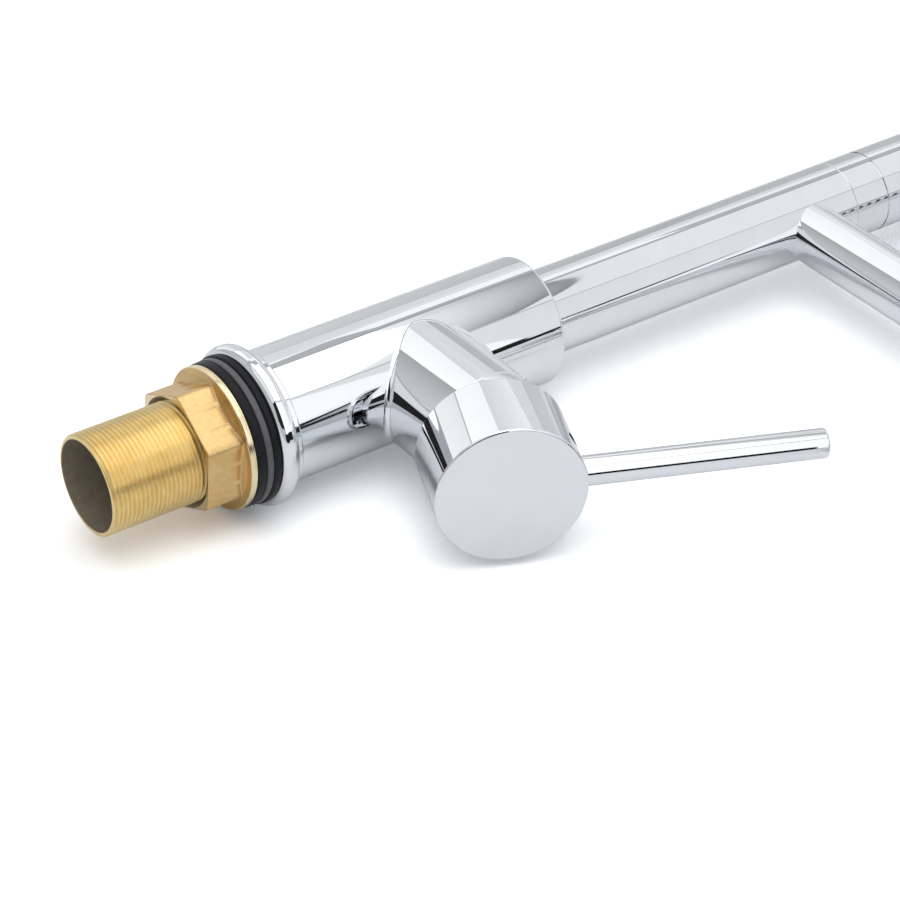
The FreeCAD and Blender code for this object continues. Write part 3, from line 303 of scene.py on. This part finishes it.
# %% Fill the room
def grey_room():
    """White for the camera, grey walls for everything else."""
    world = bpy.data.worlds.new("grey_room")
    world.use_nodes = True
    nodes = world.node_tree.nodes
    links = world.node_tree.links
    nodes.clear()
    place = nodes.new("ShaderNodeTexCoord")
    split = nodes.new("ShaderNodeSeparateXYZ")
    links.new(place.outputs["Generated"], split.inputs[0])
    height = nodes.new("ShaderNodeMapRange")
    height.inputs["From Min"].default_value = 0.2
    height.inputs["From Max"].default_value = -1.0
    links.new(split.outputs["Y"], height.inputs["Value"])
    walls = nodes.new("ShaderNodeValToRGB")
    walls.color_ramp.elements[0].color = (0.48, 0.5, 0.52, 1)
    walls.color_ramp.elements[1].color = (0.46, 0.48, 0.5, 1)
    walls.color_ramp.elements.new(0.4).color = (0.55, 0.57, 0.59, 1)
    links.new(height.outputs["Result"], walls.inputs["Fac"])
    room = nodes.new("ShaderNodeBackground")
    links.new(walls.outputs["Color"], room.inputs["Color"])
    white = nodes.new("ShaderNodeBackground")
    light = nodes.new("ShaderNodeLightPath")
    choice = nodes.new("ShaderNodeMixShader")
    links.new(light.outputs["Is Camera Ray"], choice.inputs["Fac"])
    links.new(room.outputs[0], choice.inputs[1])
    links.new(white.outputs[0], choice.inputs[2])
    result = nodes.new("ShaderNodeOutputWorld")
    links.new(choice.outputs[0], result.inputs["Surface"])
    return world


scene.world = grey_room()
print("room filled")

# %% [markdown]
# ## Shared surface effects
#
# Three effects turn up on several finishes, so each is a node group. Handling marks are the faint films
# that fingers leave on plating: they only change how sharp a reflection is. Turning lines are the fine
# rings a lathe leaves. Grain is the uneven tone and skin of cast metal, rubber and moulded plastic.


# %% Handling marks
def new_group(name, inputs, outputs):
    """An empty shader group with its sockets."""
    group = bpy.data.node_groups.new(name, "ShaderNodeTree")
    for label, kind, value in inputs:
        group.interface.new_socket(label, in_out="INPUT", socket_type=kind).default_value = value
    for label, kind in outputs:
        group.interface.new_socket(label, in_out="OUTPUT", socket_type=kind)
    return group, group.nodes.new("NodeGroupInput"), group.nodes.new("NodeGroupOutput")


NUMBER = "NodeSocketFloat"
COLOUR = "NodeSocketColor"


def make_handling_marks():
    """Roughness between clean and marked, and a height for the plating's faint unevenness."""
    group, given, result = new_group(
        "handling_marks",
        [("Scale", NUMBER, 40.0), ("Clean", NUMBER, 0.03), ("Marked", NUMBER, 0.1)],
        [("Roughness", NUMBER), ("Height", NUMBER)],
    )
    links = group.links
    place = group.nodes.new("ShaderNodeTexCoord")
    film = group.nodes.new("ShaderNodeTexNoise")
    film.inputs["Detail"].default_value = 6.0
    film.inputs["Roughness"].default_value = 0.62
    film.inputs["Distortion"].default_value = 0.4
    links.new(place.outputs["Object"], film.inputs["Vector"])
    links.new(given.outputs["Scale"], film.inputs["Scale"])
    spread = group.nodes.new("ShaderNodeMapRange")
    spread.interpolation_type = "SMOOTHSTEP"
    spread.inputs["From Min"].default_value = 0.45
    spread.inputs["From Max"].default_value = 0.75
    links.new(film.outputs["Fac"], spread.inputs["Value"])
    links.new(given.outputs["Clean"], spread.inputs["To Min"])
    links.new(given.outputs["Marked"], spread.inputs["To Max"])
    links.new(spread.outputs["Result"], result.inputs["Roughness"])
    ripple = group.nodes.new("ShaderNodeTexNoise")
    ripple.inputs["Scale"].default_value = 55.0
    ripple.inputs["Detail"].default_value = 1.0
    links.new(place.outputs["Object"], ripple.inputs["Vector"])
    links.new(ripple.outputs["Fac"], result.inputs["Height"])
    return group


handling_marks = make_handling_marks()
print("group", handling_marks.name)


# %% Turning lines
def make_turning_lines():
    """Fine rings about the column: a height that repeats along the axis and the radius."""
    group, given, result = new_group(
        "turning_lines", [("Spacing", NUMBER, 0.0004), ("Wander", NUMBER, 0.0003)], [("Height", NUMBER)]
    )
    links = group.links
    place = group.nodes.new("ShaderNodeTexCoord")
    split = group.nodes.new("ShaderNodeSeparateXYZ")
    links.new(place.outputs["Object"], split.inputs[0])
    flat = group.nodes.new("ShaderNodeVectorMath")
    flat.operation = "MULTIPLY"
    flat.inputs[1].default_value = (1, 1, 0)
    links.new(place.outputs["Object"], flat.inputs[0])
    radius = group.nodes.new("ShaderNodeVectorMath")
    radius.operation = "LENGTH"
    links.new(flat.outputs["Vector"], radius.inputs[0])
    travel = group.nodes.new("ShaderNodeMath")
    travel.operation = "ADD"
    links.new(split.outputs["Z"], travel.inputs[0])
    links.new(radius.outputs["Value"], travel.inputs[1])
    chatter = group.nodes.new("ShaderNodeTexNoise")
    chatter.inputs["Scale"].default_value = 220.0
    links.new(place.outputs["Object"], chatter.inputs["Vector"])
    wander = group.nodes.new("ShaderNodeMath")
    wander.operation = "MULTIPLY_ADD"
    links.new(chatter.outputs["Fac"], wander.inputs[0])
    links.new(given.outputs["Wander"], wander.inputs[1])
    links.new(travel.outputs[0], wander.inputs[2])
    count = group.nodes.new("ShaderNodeMath")
    count.operation = "DIVIDE"
    links.new(wander.outputs[0], count.inputs[0])
    links.new(given.outputs["Spacing"], count.inputs[1])
    wave = group.nodes.new("ShaderNodeMath")
    wave.operation = "PINGPONG"
    wave.inputs[1].default_value = 1.0
    links.new(count.outputs[0], wave.inputs[0])
    links.new(wave.outputs[0], result.inputs["Height"])
    return group


turning_lines = make_turning_lines()
print("group", turning_lines.name)


# %% Grain
def make_grain():
    """A tone between two colours, and the height of the skin that goes with it."""
    group, given, result = new_group(
        "grain",
        [
            ("Dark", COLOUR, (0.1, 0.1, 0.1, 1)),
            ("Light", COLOUR, (0.2, 0.2, 0.2, 1)),
            ("Scale", NUMBER, 300.0),
            ("Patches", NUMBER, 30.0),
        ],
        [("Color", COLOUR), ("Height", NUMBER)],
    )
    links = group.links
    place = group.nodes.new("ShaderNodeTexCoord")
    skin = group.nodes.new("ShaderNodeTexNoise")
    skin.inputs["Detail"].default_value = 4.0
    links.new(place.outputs["Object"], skin.inputs["Vector"])
    links.new(given.outputs["Scale"], skin.inputs["Scale"])
    patch = group.nodes.new("ShaderNodeTexNoise")
    patch.inputs["Detail"].default_value = 3.0
    links.new(place.outputs["Object"], patch.inputs["Vector"])
    links.new(given.outputs["Patches"], patch.inputs["Scale"])
    blend = group.nodes.new("ShaderNodeMath")
    blend.operation = "MULTIPLY_ADD"
    blend.inputs[1].default_value = 0.5
    links.new(skin.outputs["Fac"], blend.inputs[0])
    half = group.nodes.new("ShaderNodeMath")
    half.operation = "MULTIPLY"
    half.inputs[1].default_value = 0.5
    links.new(patch.outputs["Fac"], half.inputs[0])
    links.new(half.outputs[0], blend.inputs[2])
    contrast = group.nodes.new("ShaderNodeMapRange")
    contrast.inputs["From Min"].default_value = 0.32
    contrast.inputs["From Max"].default_value = 0.68
    links.new(blend.outputs[0], contrast.inputs["Value"])
    tone = group.nodes.new("ShaderNodeMix")
    tone.data_type = "RGBA"
    links.new(contrast.outputs["Result"], tone.inputs["Factor"])
    links.new(given.outputs["Dark"], tone.inputs["A"])
    links.new(given.outputs["Light"], tone.inputs["B"])
    links.new(tone.outputs["Result"], result.inputs["Color"])
    links.new(skin.outputs["Fac"], result.inputs["Height"])
    return group


grain = make_grain()
print("group", grain.name)

# %% [markdown]
# ## Finishes
#
# One short function makes any finish from the three groups: two tones, a roughness from clean to marked,
# and a height that bumps the surface. Each slot of the record then gets its own numbers. Plating is a
# metal of high, slightly blue reflectance. Raw brass is a yellow metal: bright where it was cut, dull and
# orange where it still has its cast skin.


# %% Make the finishes
def add_group(tree, group, **values):
    """A group node with some of its inputs set."""
    node = tree.nodes.new("ShaderNodeGroup")
    node.node_tree = group
    for label, value in values.items():
        node.inputs[label].default_value = value
    return node


mirror_polish = 0.1


def finish(name, dark, light, metallic, clean, marked, skin, patches, lines=0.0, relief=0.0, gloss=0.5):
    """A finish with uneven tone, uneven polish, and either a grained or a turned surface.

    Skin and patches are the grain's fine and coarse scales, lines is the spacing of turning lines, and
    relief is how deep the bump goes, both in metres.
    """
    material = bpy.data.materials.new(name)
    material.use_nodes = True
    tree = material.node_tree
    shader = tree.nodes["Principled BSDF"]
    shader.inputs["Metallic"].default_value = metallic
    tone = add_group(tree, grain, Dark=(*dark, 1), Light=(*light, 1), Scale=skin, Patches=patches)
    tree.links.new(tone.outputs["Color"], shader.inputs["Base Color"])
    shader.inputs["Specular IOR Level"].default_value = gloss
    marks = add_group(tree, handling_marks, Clean=clean, Marked=marked)
    tree.links.new(marks.outputs["Roughness"], shader.inputs["Roughness"])
    bump = tree.nodes.new("ShaderNodeBump")
    bump.inputs["Strength"].default_value = 1.0
    bump.inputs["Distance"].default_value = relief
    if lines:
        surface = add_group(tree, turning_lines, Spacing=lines, Wander=lines)
    elif metallic and clean < mirror_polish:
        surface = marks
    else:
        surface = tone
    tree.links.new(surface.outputs["Height"], bump.inputs["Height"])
    tree.links.new(bump.outputs["Normal"], shader.inputs["Normal"])
    return material


finishes = {
    "chrome": finish(
        "chrome_plate", (0.82, 0.835, 0.86), (0.87, 0.88, 0.9), 1, 0.025, 0.07, 120, 12, relief=0.00001
    ),
    "spring_chrome": finish(
        "spring_plate", (0.74, 0.75, 0.77), (0.84, 0.85, 0.87), 1, 0.05, 0.16, 260, 40, relief=0.00002
    ),
    "brass": finish(
        "turned_brass", (0.84, 0.62, 0.27), (0.94, 0.77, 0.42), 1, 0.16, 0.28, 400, 60, 0.0003, 0.00002
    ),
    "rubber": finish(
        "black_rubber", (0.004, 0.004, 0.005), (0.012, 0.012, 0.013), 0, 0.42, 0.6, 900, 70, 0, 0.0001, 0.2
    ),
    "washer_plastic": finish(
        "slip_plastic", (0.07, 0.07, 0.074), (0.11, 0.11, 0.115), 0, 0.4, 0.55, 700, 80, relief=0.00005
    ),
    "hose": finish(
        "hose_rubber", (0.02, 0.02, 0.022), (0.05, 0.05, 0.054), 0, 0.4, 0.6, 700, 60, relief=0.0001
    ),
    "cartridge_plastic": finish(
        "cartridge_plastic", (0.78, 0.78, 0.75), (0.88, 0.88, 0.86), 0, 0.4, 0.55, 600, 60, relief=0.00005
    ),
    "ceramic": finish(
        "lapped_ceramic", (0.86, 0.84, 0.79), (0.94, 0.92, 0.88), 0, 0.12, 0.22, 900, 90, relief=0.00001
    ),
    "steel": finish(
        "plain_steel", (0.5, 0.51, 0.53), (0.64, 0.65, 0.67), 1, 0.2, 0.36, 500, 60, 0.0004, 0.00002
    ),
    "magnet": finish(
        "nickel_magnet", (0.52, 0.51, 0.49), (0.62, 0.61, 0.59), 1, 0.18, 0.3, 400, 60, relief=0.00001
    ),
    "grey_plastic": finish(
        "grey_plastic", (0.25, 0.26, 0.27), (0.33, 0.34, 0.35), 0, 0.35, 0.5, 700, 60, relief=0.00006
    ),
}
cast_brass = finish(
    "cast_brass", (0.64, 0.42, 0.17), (0.78, 0.55, 0.26), 1, 0.3, 0.42, 900, 90, relief=0.00005
)
thread_brass = finish(
    "thread_brass", (0.84, 0.62, 0.27), (0.94, 0.77, 0.42), 1, 0.28, 0.4, 400, 60, relief=0.00002
)
cut_brass = finish(
    "cut_brass", (0.86, 0.7, 0.42), (0.95, 0.82, 0.56), 1, 0.16, 0.28, 400, 60, 0.00035, 0.00003
)
# Painted shade: brass made much darker and duller than the metal is, for the inside of the shank's bore and
# the nut's countersink, where shade falls into the recess.
recess_shade_brass = finish(
    "recess_shade_brass", (0.27, 0.22, 0.16), (0.38, 0.32, 0.24), 0.25, 0.45, 0.6, 500, 60, relief=0.00005
)
for subpart in frame["record"]["subparts"]:
    coats = frame["nodes"][subpart["node"]].data.materials
    coats.clear()
    coats.append(finishes[subpart["material_slot"]])
print("finishes:", len(finishes))

# %% [markdown]
# ## Deck fixing
#
# The shank is a brass tube with a fine metric thread, M32 x 1.5. On a lathe one tool follows the tube as it
# turns, so the thread is a single groove that winds all the way. The same idea makes the mesh: one
# profile, a pitch long, steps round the axis and climbs, and each turn's last point is the next turn's
# first. Cutting the ends square and narrowing the last threads gives the lead-in chamfer.


# %% Cut the shank's thread
def new_piece(name, bm, body, materials, sharp=35.0):
    """A finished piece from a mesh under construction, riding on a body."""
    mesh = bpy.data.meshes.new(name)
    bmesh.ops.recalc_face_normals(bm, faces=bm.faces)
    bm.to_mesh(mesh)
    bm.free()
    mesh.shade_smooth()
    mesh.set_sharp_from_angle(angle=math.radians(sharp))
    for material in materials:
        mesh.materials.append(material)
    piece = bpy.data.objects.new(name, mesh)
    scene.collection.objects.link(piece)
    if body:
        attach(piece, body)
    return piece


def threaded_tube(radius, bore, low, high, pitch, depth, chamfer, steps=96):
    """A tube whose outside is one winding groove."""
    # Each point is a share of the pitch and a depth: the crest, then the root after its flank.
    profile = [(0.0, 0.0), (0.12, 0.0), (0.5, depth), (0.62, depth)]
    turns = math.ceil((high - low) / pitch) + 1
    bm = bmesh.new()
    strips = []
    for step in range(steps * turns + 1):
        angle = math.tau * step / steps
        foot = low - pitch + pitch * step / steps
        strip = []
        for share, cut in profile:
            reach = radius - cut
            place = (reach * math.cos(angle), reach * math.sin(angle), foot + share * pitch)
            strip.append(bm.verts.new(place))
        strips.append(strip)
    for step in range(steps * (turns - 1)):
        above = strips[step + steps : step + steps + 2]
        first = strips[step] + [above[0][0]]
        second = strips[step + 1] + [above[1][0]]
        for index in range(len(profile)):
            bm.faces.new((first[index], second[index], second[index + 1], first[index + 1]))
    for end, sign in ((low, -1), (high, 1)):
        every = bm.verts[:] + bm.edges[:] + bm.faces[:]
        outward = (0, 0, sign)
        bmesh.ops.bisect_plane(bm, geom=every, plane_co=(0, 0, end), plane_no=outward, clear_outer=True)
    loose = [vert for vert in bm.verts if not vert.link_faces]
    bmesh.ops.delete(bm, geom=loose, context="VERTS")
    for vert in bm.verts:
        limit = radius - chamfer + min(vert.co.z - low, high - vert.co.z)
        across = math.hypot(vert.co.x, vert.co.y)
        if across > limit:
            vert.co.x *= limit / across
            vert.co.y *= limit / across
    for end in (low, high):
        rim = [edge for edge in bm.edges if edge.is_boundary and abs(edge.verts[0].co.z - end) < 1e-6]
        seat = Matrix.Translation((0, 0, end))
        mouth = bmesh.ops.create_circle(bm, segments=steps, radius=bore, matrix=seat)
        inner = dict.fromkeys(edge for vert in mouth["verts"] for edge in vert.link_edges)
        bmesh.ops.bridge_loops(bm, edges=rim + list(inner))
    mouths = [edge for edge in bm.edges if edge.is_boundary]
    for face in bmesh.ops.bridge_loops(bm, edges=mouths)["faces"]:
        face.material_index = 1
    return bm


shank_low, shank_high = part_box("shank")
shank_radius = shank_high.x
shank_wall = 1.4 * MM
thread = threaded_tube(
    radius=shank_radius,
    bore=shank_radius - shank_wall,
    low=shank_low.z,
    high=shank_high.z,
    pitch=1.5 * MM,
    depth=0.85 * MM,
    chamfer=0.3 * MM,
)
# The bore inside the shank gets the dark brass of painted shade.
shank = new_piece("threaded_shank", thread, "base", [thread_brass, recess_shade_brass])
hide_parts("shank")
print("shank faces", len(shank.data.polygons))

# %% [markdown]
# The nut is cast with its hexagon and flange, then the flange and the end are faced on a lathe. Its form
# is simplest as a radius that depends on the angle and the height: a hexagon with soft corners, rounded at
# the free end, and a cone that swells out of its flats towards the flange. The faces that the lathe touched
# get the brighter brass. The countersink that leads into the bore gets a dark, dull brass instead: painted
# shade, for the shadow that falls into it between the nut and the shank.


# %% Cast and face the nut
def softer(first, second, over):
    """The smaller of two numbers, with the corner between them rounded."""
    near = max(over - abs(first - second), 0.0) / over
    return min(first, second) - near * near * over / 4


nut_low, nut_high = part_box("mounting_nut")
flat_half = 18.0 * MM
corner_reach = 20.4 * MM
nut_turn = math.radians(-25.5)
nut_flange = 2.2 * MM
nut_cone = 1.2 * MM
cone_reach = 20.6 * MM
countersink = 1.5 * MM
nut_bore = shank_radius + 0.08 * MM
flange_radius = nut_high.x
cast_round = 0.35 * MM
corner_round = 0.9 * MM
cone_round = 0.4 * MM
# RECESS_SHADE marks the countersink, whose dark brass is painted shade.
AS_CAST, CUT, RECESS_SHADE = 0, 1, 2


def hexagon_radius(angle):
    """The hexagon, softened at its corners."""
    off_flat = (angle - nut_turn) % (math.pi / 3) - math.pi / 6
    return softer(flat_half / math.cos(off_flat), corner_reach, corner_round)


def quarter_round(steps=4):
    """Pairs of a setback and a rise, round a quarter circle from a flat end to a straight side."""
    turns = [math.pi / 2 * step / steps for step in range(steps + 1)]
    return [(cast_round * (1 - math.sin(turn)), cast_round * (1 - math.cos(turn))) for turn in turns]


def coned_hexagon(angle, cone):
    """The larger of the hexagon and the cone that leads to the flange, with the corner filled."""
    return -softer(-hexagon_radius(angle), -cone, cone_round)


def nut_rows(cone_steps=8):
    """Heights, a radius for each angle and the finish from there on, from the faced end to the flange."""
    under = nut_high.z - nut_flange
    rows = [(nut_low.z, lambda angle: nut_bore + countersink, CUT)]
    for setback, rise in quarter_round():
        rows.append((nut_low.z + rise, lambda angle, shy=setback: hexagon_radius(angle) - shy, AS_CAST))
    for step in range(cone_steps + 1):
        cone = flat_half + (cone_reach - flat_half) * step / cone_steps
        height = under - nut_cone * (1 - step / cone_steps)
        rows.append((height, lambda angle, cone=cone: coned_hexagon(angle, cone), AS_CAST))
    for setback, rise in quarter_round():
        rows.append((under + rise, lambda angle, shy=setback: flange_radius - shy, CUT))
    for setback, rise in reversed(quarter_round()):
        rows.append((nut_high.z - rise, lambda angle, shy=setback: flange_radius - shy, CUT))
    rows.append((nut_high.z, lambda angle: nut_bore, CUT))
    # The face from this row back to the first is the countersink; its dark brass is painted shade.
    rows.append((nut_low.z + countersink, lambda angle: nut_bore, RECESS_SHADE))
    return rows


def cast_nut(columns=360):
    """Skins the rows, and closes the last one on the first through the bore."""
    bm = bmesh.new()
    rings = []
    finish_of_row = []
    for height, radius_at, row_finish in nut_rows():
        ring = []
        for column in range(columns):
            angle = math.tau * column / columns
            reach = radius_at(angle)
            ring.append(bm.verts.new((reach * math.cos(angle), reach * math.sin(angle), height)))
        rings.append(ring)
        finish_of_row.append(row_finish)
    for index, ring in enumerate(rings):
        beyond = rings[(index + 1) % len(rings)]
        for column in range(columns):
            after = (column + 1) % columns
            face = bm.faces.new((ring[column], ring[after], beyond[after], beyond[column]))
            face.material_index = finish_of_row[index]
    return bm


nut = new_piece("cast_nut", cast_nut(), "nut", [cast_brass, cut_brass, recess_shade_brass], sharp=40.0)
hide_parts("mounting_nut")
print("nut faces", len(nut.data.polygons))

# %% [markdown]
# Above the nut sit three soft rings. A rubber washer and a grey plastic one are clamped under the worktop,
# and a gasket seals the column's foot on top of it. They are punched or moulded, so their edges are round
# and they bulge a little where they are squeezed.


# %% Press the rings
def turned(outline, sides=160, centre=(0, 0)):
    """A closed outline of radius and height, turned about an upright axis."""
    bm = bmesh.new()
    rings = []
    for radius, height in outline:
        ring = []
        for side in range(sides):
            angle = math.tau * side / sides
            place = (centre[0] + radius * math.cos(angle), centre[1] + radius * math.sin(angle), height)
            ring.append(bm.verts.new(place))
        rings.append(ring)
    for index, ring in enumerate(rings):
        beyond = rings[(index + 1) % len(rings)]
        for side in range(sides):
            after = (side + 1) % sides
            bm.faces.new((ring[side], ring[after], beyond[after], beyond[side]))
    return bm


ring_clearance = 0.4 * MM
rim_steps = 16
corner_from = 0.8


def soft_ring(name, node, bulge, round_over, body, slot, shy=0.0):
    """A squeezed ring: rounded edges, a rim that swells in the middle and may stay shy of its solid's."""
    low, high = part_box(node)
    bore = shank_radius + ring_clearance
    height = high.z - low.z
    outline = [(bore, low.z)]
    for step in range(rim_steps + 1):
        turn = math.pi * (step / rim_steps - 0.5)
        swell = high.x - shy - bulge * math.sin(turn) ** 2
        corner = round_over * max(abs(math.sin(turn)) - corner_from, 0) / (1 - corner_from)
        outline.append((swell - corner, low.z + height * (0.5 + 0.5 * math.sin(turn))))
    outline.append((bore, high.z))
    piece = new_piece(name, turned(outline), body, [finishes[slot]])
    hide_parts(node)


soft_ring("rubber_washer", "clamp_washer", 0.2 * MM, 0.3 * MM, "clamp", "rubber", shy=0.2 * MM)
soft_ring("slip_washer_ring", "slip_washer", 0.1 * MM, 0.25 * MM, "clamp", "washer_plastic")
soft_ring("foot_gasket", "base_gasket", 0.25 * MM, 0.3 * MM, "base", "rubber")
print("rings pressed")

# %% [markdown]
# ## Hose and spring
#
# The hose rises out of the collar, goes over in half a circle and comes down to the spray. The spring is
# one wire wound round it. Both follow the same line, so that line is a function: give it a distance and it
# gives the place, the direction ahead and the direction towards the arch's middle. The spring then adds a
# turning radius.


# %% The line of the arch
spray_low, spray_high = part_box("spray_ferrule")
spray_x = (spray_low.x + spray_high.x) / 2
arch_radius = spray_x / 2
hose_low, hose_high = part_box("outlet_hose")
hose_radius = hose_high.y
arch_height = hose_high.z - hose_radius - arch_radius


def arch_frame(along, start):
    """Place, way ahead and way inward, at a distance along the line that starts at a height."""
    rise = arch_height - start
    bend = math.pi * arch_radius
    if along <= rise:
        return Vector((0, 0, start + along)), Vector((0, 0, 1)), Vector((1, 0, 0))
    if along >= rise + bend:
        down = arch_height - (along - rise - bend)
        return Vector((spray_x, 0, down)), Vector((0, 0, -1)), Vector((-1, 0, 0))
    angle = (along - rise) / arch_radius
    inward = Vector((math.cos(angle), 0, -math.sin(angle)))
    forward = Vector((math.sin(angle), 0, math.cos(angle)))
    return Vector((arch_radius, 0, arch_height)) - inward * arch_radius, forward, inward


def arch_length(start, end):
    """The line's length between a height at the riser and a height at the spray."""
    return 2 * arch_height - start - end + math.pi * arch_radius


def swept(stations, radius, sides):
    """A round tube through stations, each a place and two directions square to the line."""
    bm = bmesh.new()
    rings = []
    for place, first, second in stations:
        ring = []
        for side in range(sides):
            angle = math.tau * side / sides
            outward = first * math.cos(angle) + second * math.sin(angle)
            ring.append(bm.verts.new(place + outward * radius))
        rings.append(ring)
    for ring, beyond in zip(rings, rings[1:]):
        for side in range(sides):
            after = (side + 1) % sides
            bm.faces.new((ring[side], ring[after], beyond[after], beyond[side]))
    bm.faces.new(rings[0])
    bm.faces.new(rings[-1])
    return bm


print("arch radius", round(arch_radius, 4), "height", round(arch_height, 4))


# %% Wind the spring
def spring_stations(start, end, coil_radius, wire, turns, lead, steps=24):
    """The wire's stations: even turns, and an end turn at each end that closes on its seat."""
    length = arch_length(start, end)
    pitch = (length - 2 * lead) / turns
    end_turns = 1.25
    stations = []
    for step in range(int((turns + 2 * end_turns) * steps) + 1):
        turn = step / steps - end_turns
        along = lead + pitch * min(max(turn, 0.0), turns)
        slack = max(-turn, turn - turns, 0.0) / end_turns * (lead - wire / 2)
        along += math.copysign(slack, turn)
        place, forward, inward = arch_frame(along, start)
        sideways = forward.cross(inward)
        angle = math.tau * turn
        radial = inward * math.cos(angle) + sideways * math.sin(angle)
        around = sideways * math.cos(angle) - inward * math.sin(angle)
        lean = (around * math.tau * coil_radius + forward * pitch).normalized()
        stations.append((place + radial * coil_radius, radial, lean.cross(radial)))
    return stations


cup_depth = 8 * MM
spring_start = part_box("upper_collar")[1].z - cup_depth
spring_end = spray_high.z - cup_depth
spring_wire = 2.8 * MM
stations = spring_stations(
    spring_start, spring_end, coil_radius=11.15 * MM, wire=spring_wire, turns=88, lead=7 * MM
)
coil = swept(stations, spring_wire / 2, sides=10)
spring = new_piece("wound_spring", coil, None, [finishes["spring_chrome"]], sharp=60.0)
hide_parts("guide_spring")
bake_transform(spring)
print("spring faces", len(spring.data.polygons))


# %% Run the hose
def hose_stations(start, end, count=240):
    """Even stations along the line, from a height at the riser to a height at the spray."""
    length = arch_length(start, end)
    stations = []
    for step in range(count + 1):
        place, forward, inward = arch_frame(length * step / count, start)
        stations.append((place, inward, forward.cross(inward)))
    return stations


tail_cover = 10 * MM
hose_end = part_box("spray_nipple")[0].z + tail_cover
tube = swept(hose_stations(hose_low.z, hose_end), hose_radius, sides=32)
hose = new_piece("inner_hose", tube, None, [finishes["hose"]], sharp=60.0)
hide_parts("outlet_hose")
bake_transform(hose)
print("hose faces", len(hose.data.polygons))

# %% [markdown]
# ## Spray face
#
# The spray's face has a ring of soft tips that can be rubbed clean, and a honeycomb in the middle that
# smooths the jet. Both are small, but they are what one sees on looking into the head.


# %% Set the nozzle tips
face_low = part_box("spray_face_plate")[0].z
tip_circle = 15.5 * MM
tip_count = 20
tip_root = 3 * MM
tip_outline = [
    (0.85 * MM, face_low + tip_root),
    (0.85 * MM, face_low),
    (0.6 * MM, face_low - 0.5 * MM),
    (0.5 * MM, face_low - 0.7 * MM),
    (0.3 * MM, face_low - 0.7 * MM),
    (0.3 * MM, face_low + tip_root),
]
for number in range(tip_count):
    angle = math.tau * number / tip_count
    centre = (spray_x + tip_circle * math.cos(angle), tip_circle * math.sin(angle))
    tip = turned(tip_outline, sides=20, centre=centre)
    new_piece("nozzle_tip_%02d" % number, tip, "spray", [finishes["rubber"]])
print("nozzle tips set:", tip_count)


# %% Build the honeycomb
def honeycomb(centre, radius, cell, web, low, high):
    """Six-sided tubes side by side, inside a circle; web is the share of a cell that its wall takes."""
    bm = bmesh.new()
    count = int(radius / cell) + 2
    for row in range(-count, count + 1):
        for column in range(-count, count + 1):
            across = cell * (column + (row % 2) / 2)
            deep = cell * math.sqrt(3) / 2 * row
            if math.hypot(across, deep) > radius - cell / 2:
                continue
            rings = []
            for reach, height in ((1, low), (1, high), (1 - web, high), (1 - web, low)):
                ring = []
                for corner in range(6):
                    angle = math.pi / 6 + math.pi / 3 * corner
                    size = cell / math.sqrt(3) * reach
                    place = (centre + across + size * math.cos(angle), deep + size * math.sin(angle), height)
                    ring.append(bm.verts.new(place))
                rings.append(ring)
            for index, ring in enumerate(rings):
                beyond = rings[(index + 1) % 4]
                for corner in range(6):
                    after = (corner + 1) % 6
                    bm.faces.new((ring[corner], ring[after], beyond[after], beyond[corner]))
    return bm


aerator_low, aerator_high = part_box("aerator")
aerator_radius = (aerator_high.x - aerator_low.x) / 2
sleeve_bore = aerator_radius - 1.3 * MM
inner_bevel = 0.4 * MM
outer_bevel = 0.5 * MM
sleeve_outline = [
    (sleeve_bore, aerator_low.z + inner_bevel),
    (sleeve_bore + inner_bevel, aerator_low.z),
    (aerator_radius - outer_bevel, aerator_low.z),
    (aerator_radius, aerator_low.z + outer_bevel),
    (aerator_radius, aerator_high.z),
    (sleeve_bore, aerator_high.z),
]
shell = turned(sleeve_outline, sides=96, centre=(spray_x, 0))
sleeve = new_piece("aerator_sleeve", shell, "spray", [finishes["grey_plastic"]])
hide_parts("aerator")
comb_low = aerator_low.z + 1.2 * MM
comb_high = aerator_low.z + 6 * MM
cells = honeycomb(spray_x, sleeve_bore, cell=1.5 * MM, web=0.22, low=comb_low, high=comb_high)
comb = new_piece("aerator_comb", cells, "spray", [finishes["grey_plastic"]])
print("comb faces", len(comb.data.polygons))
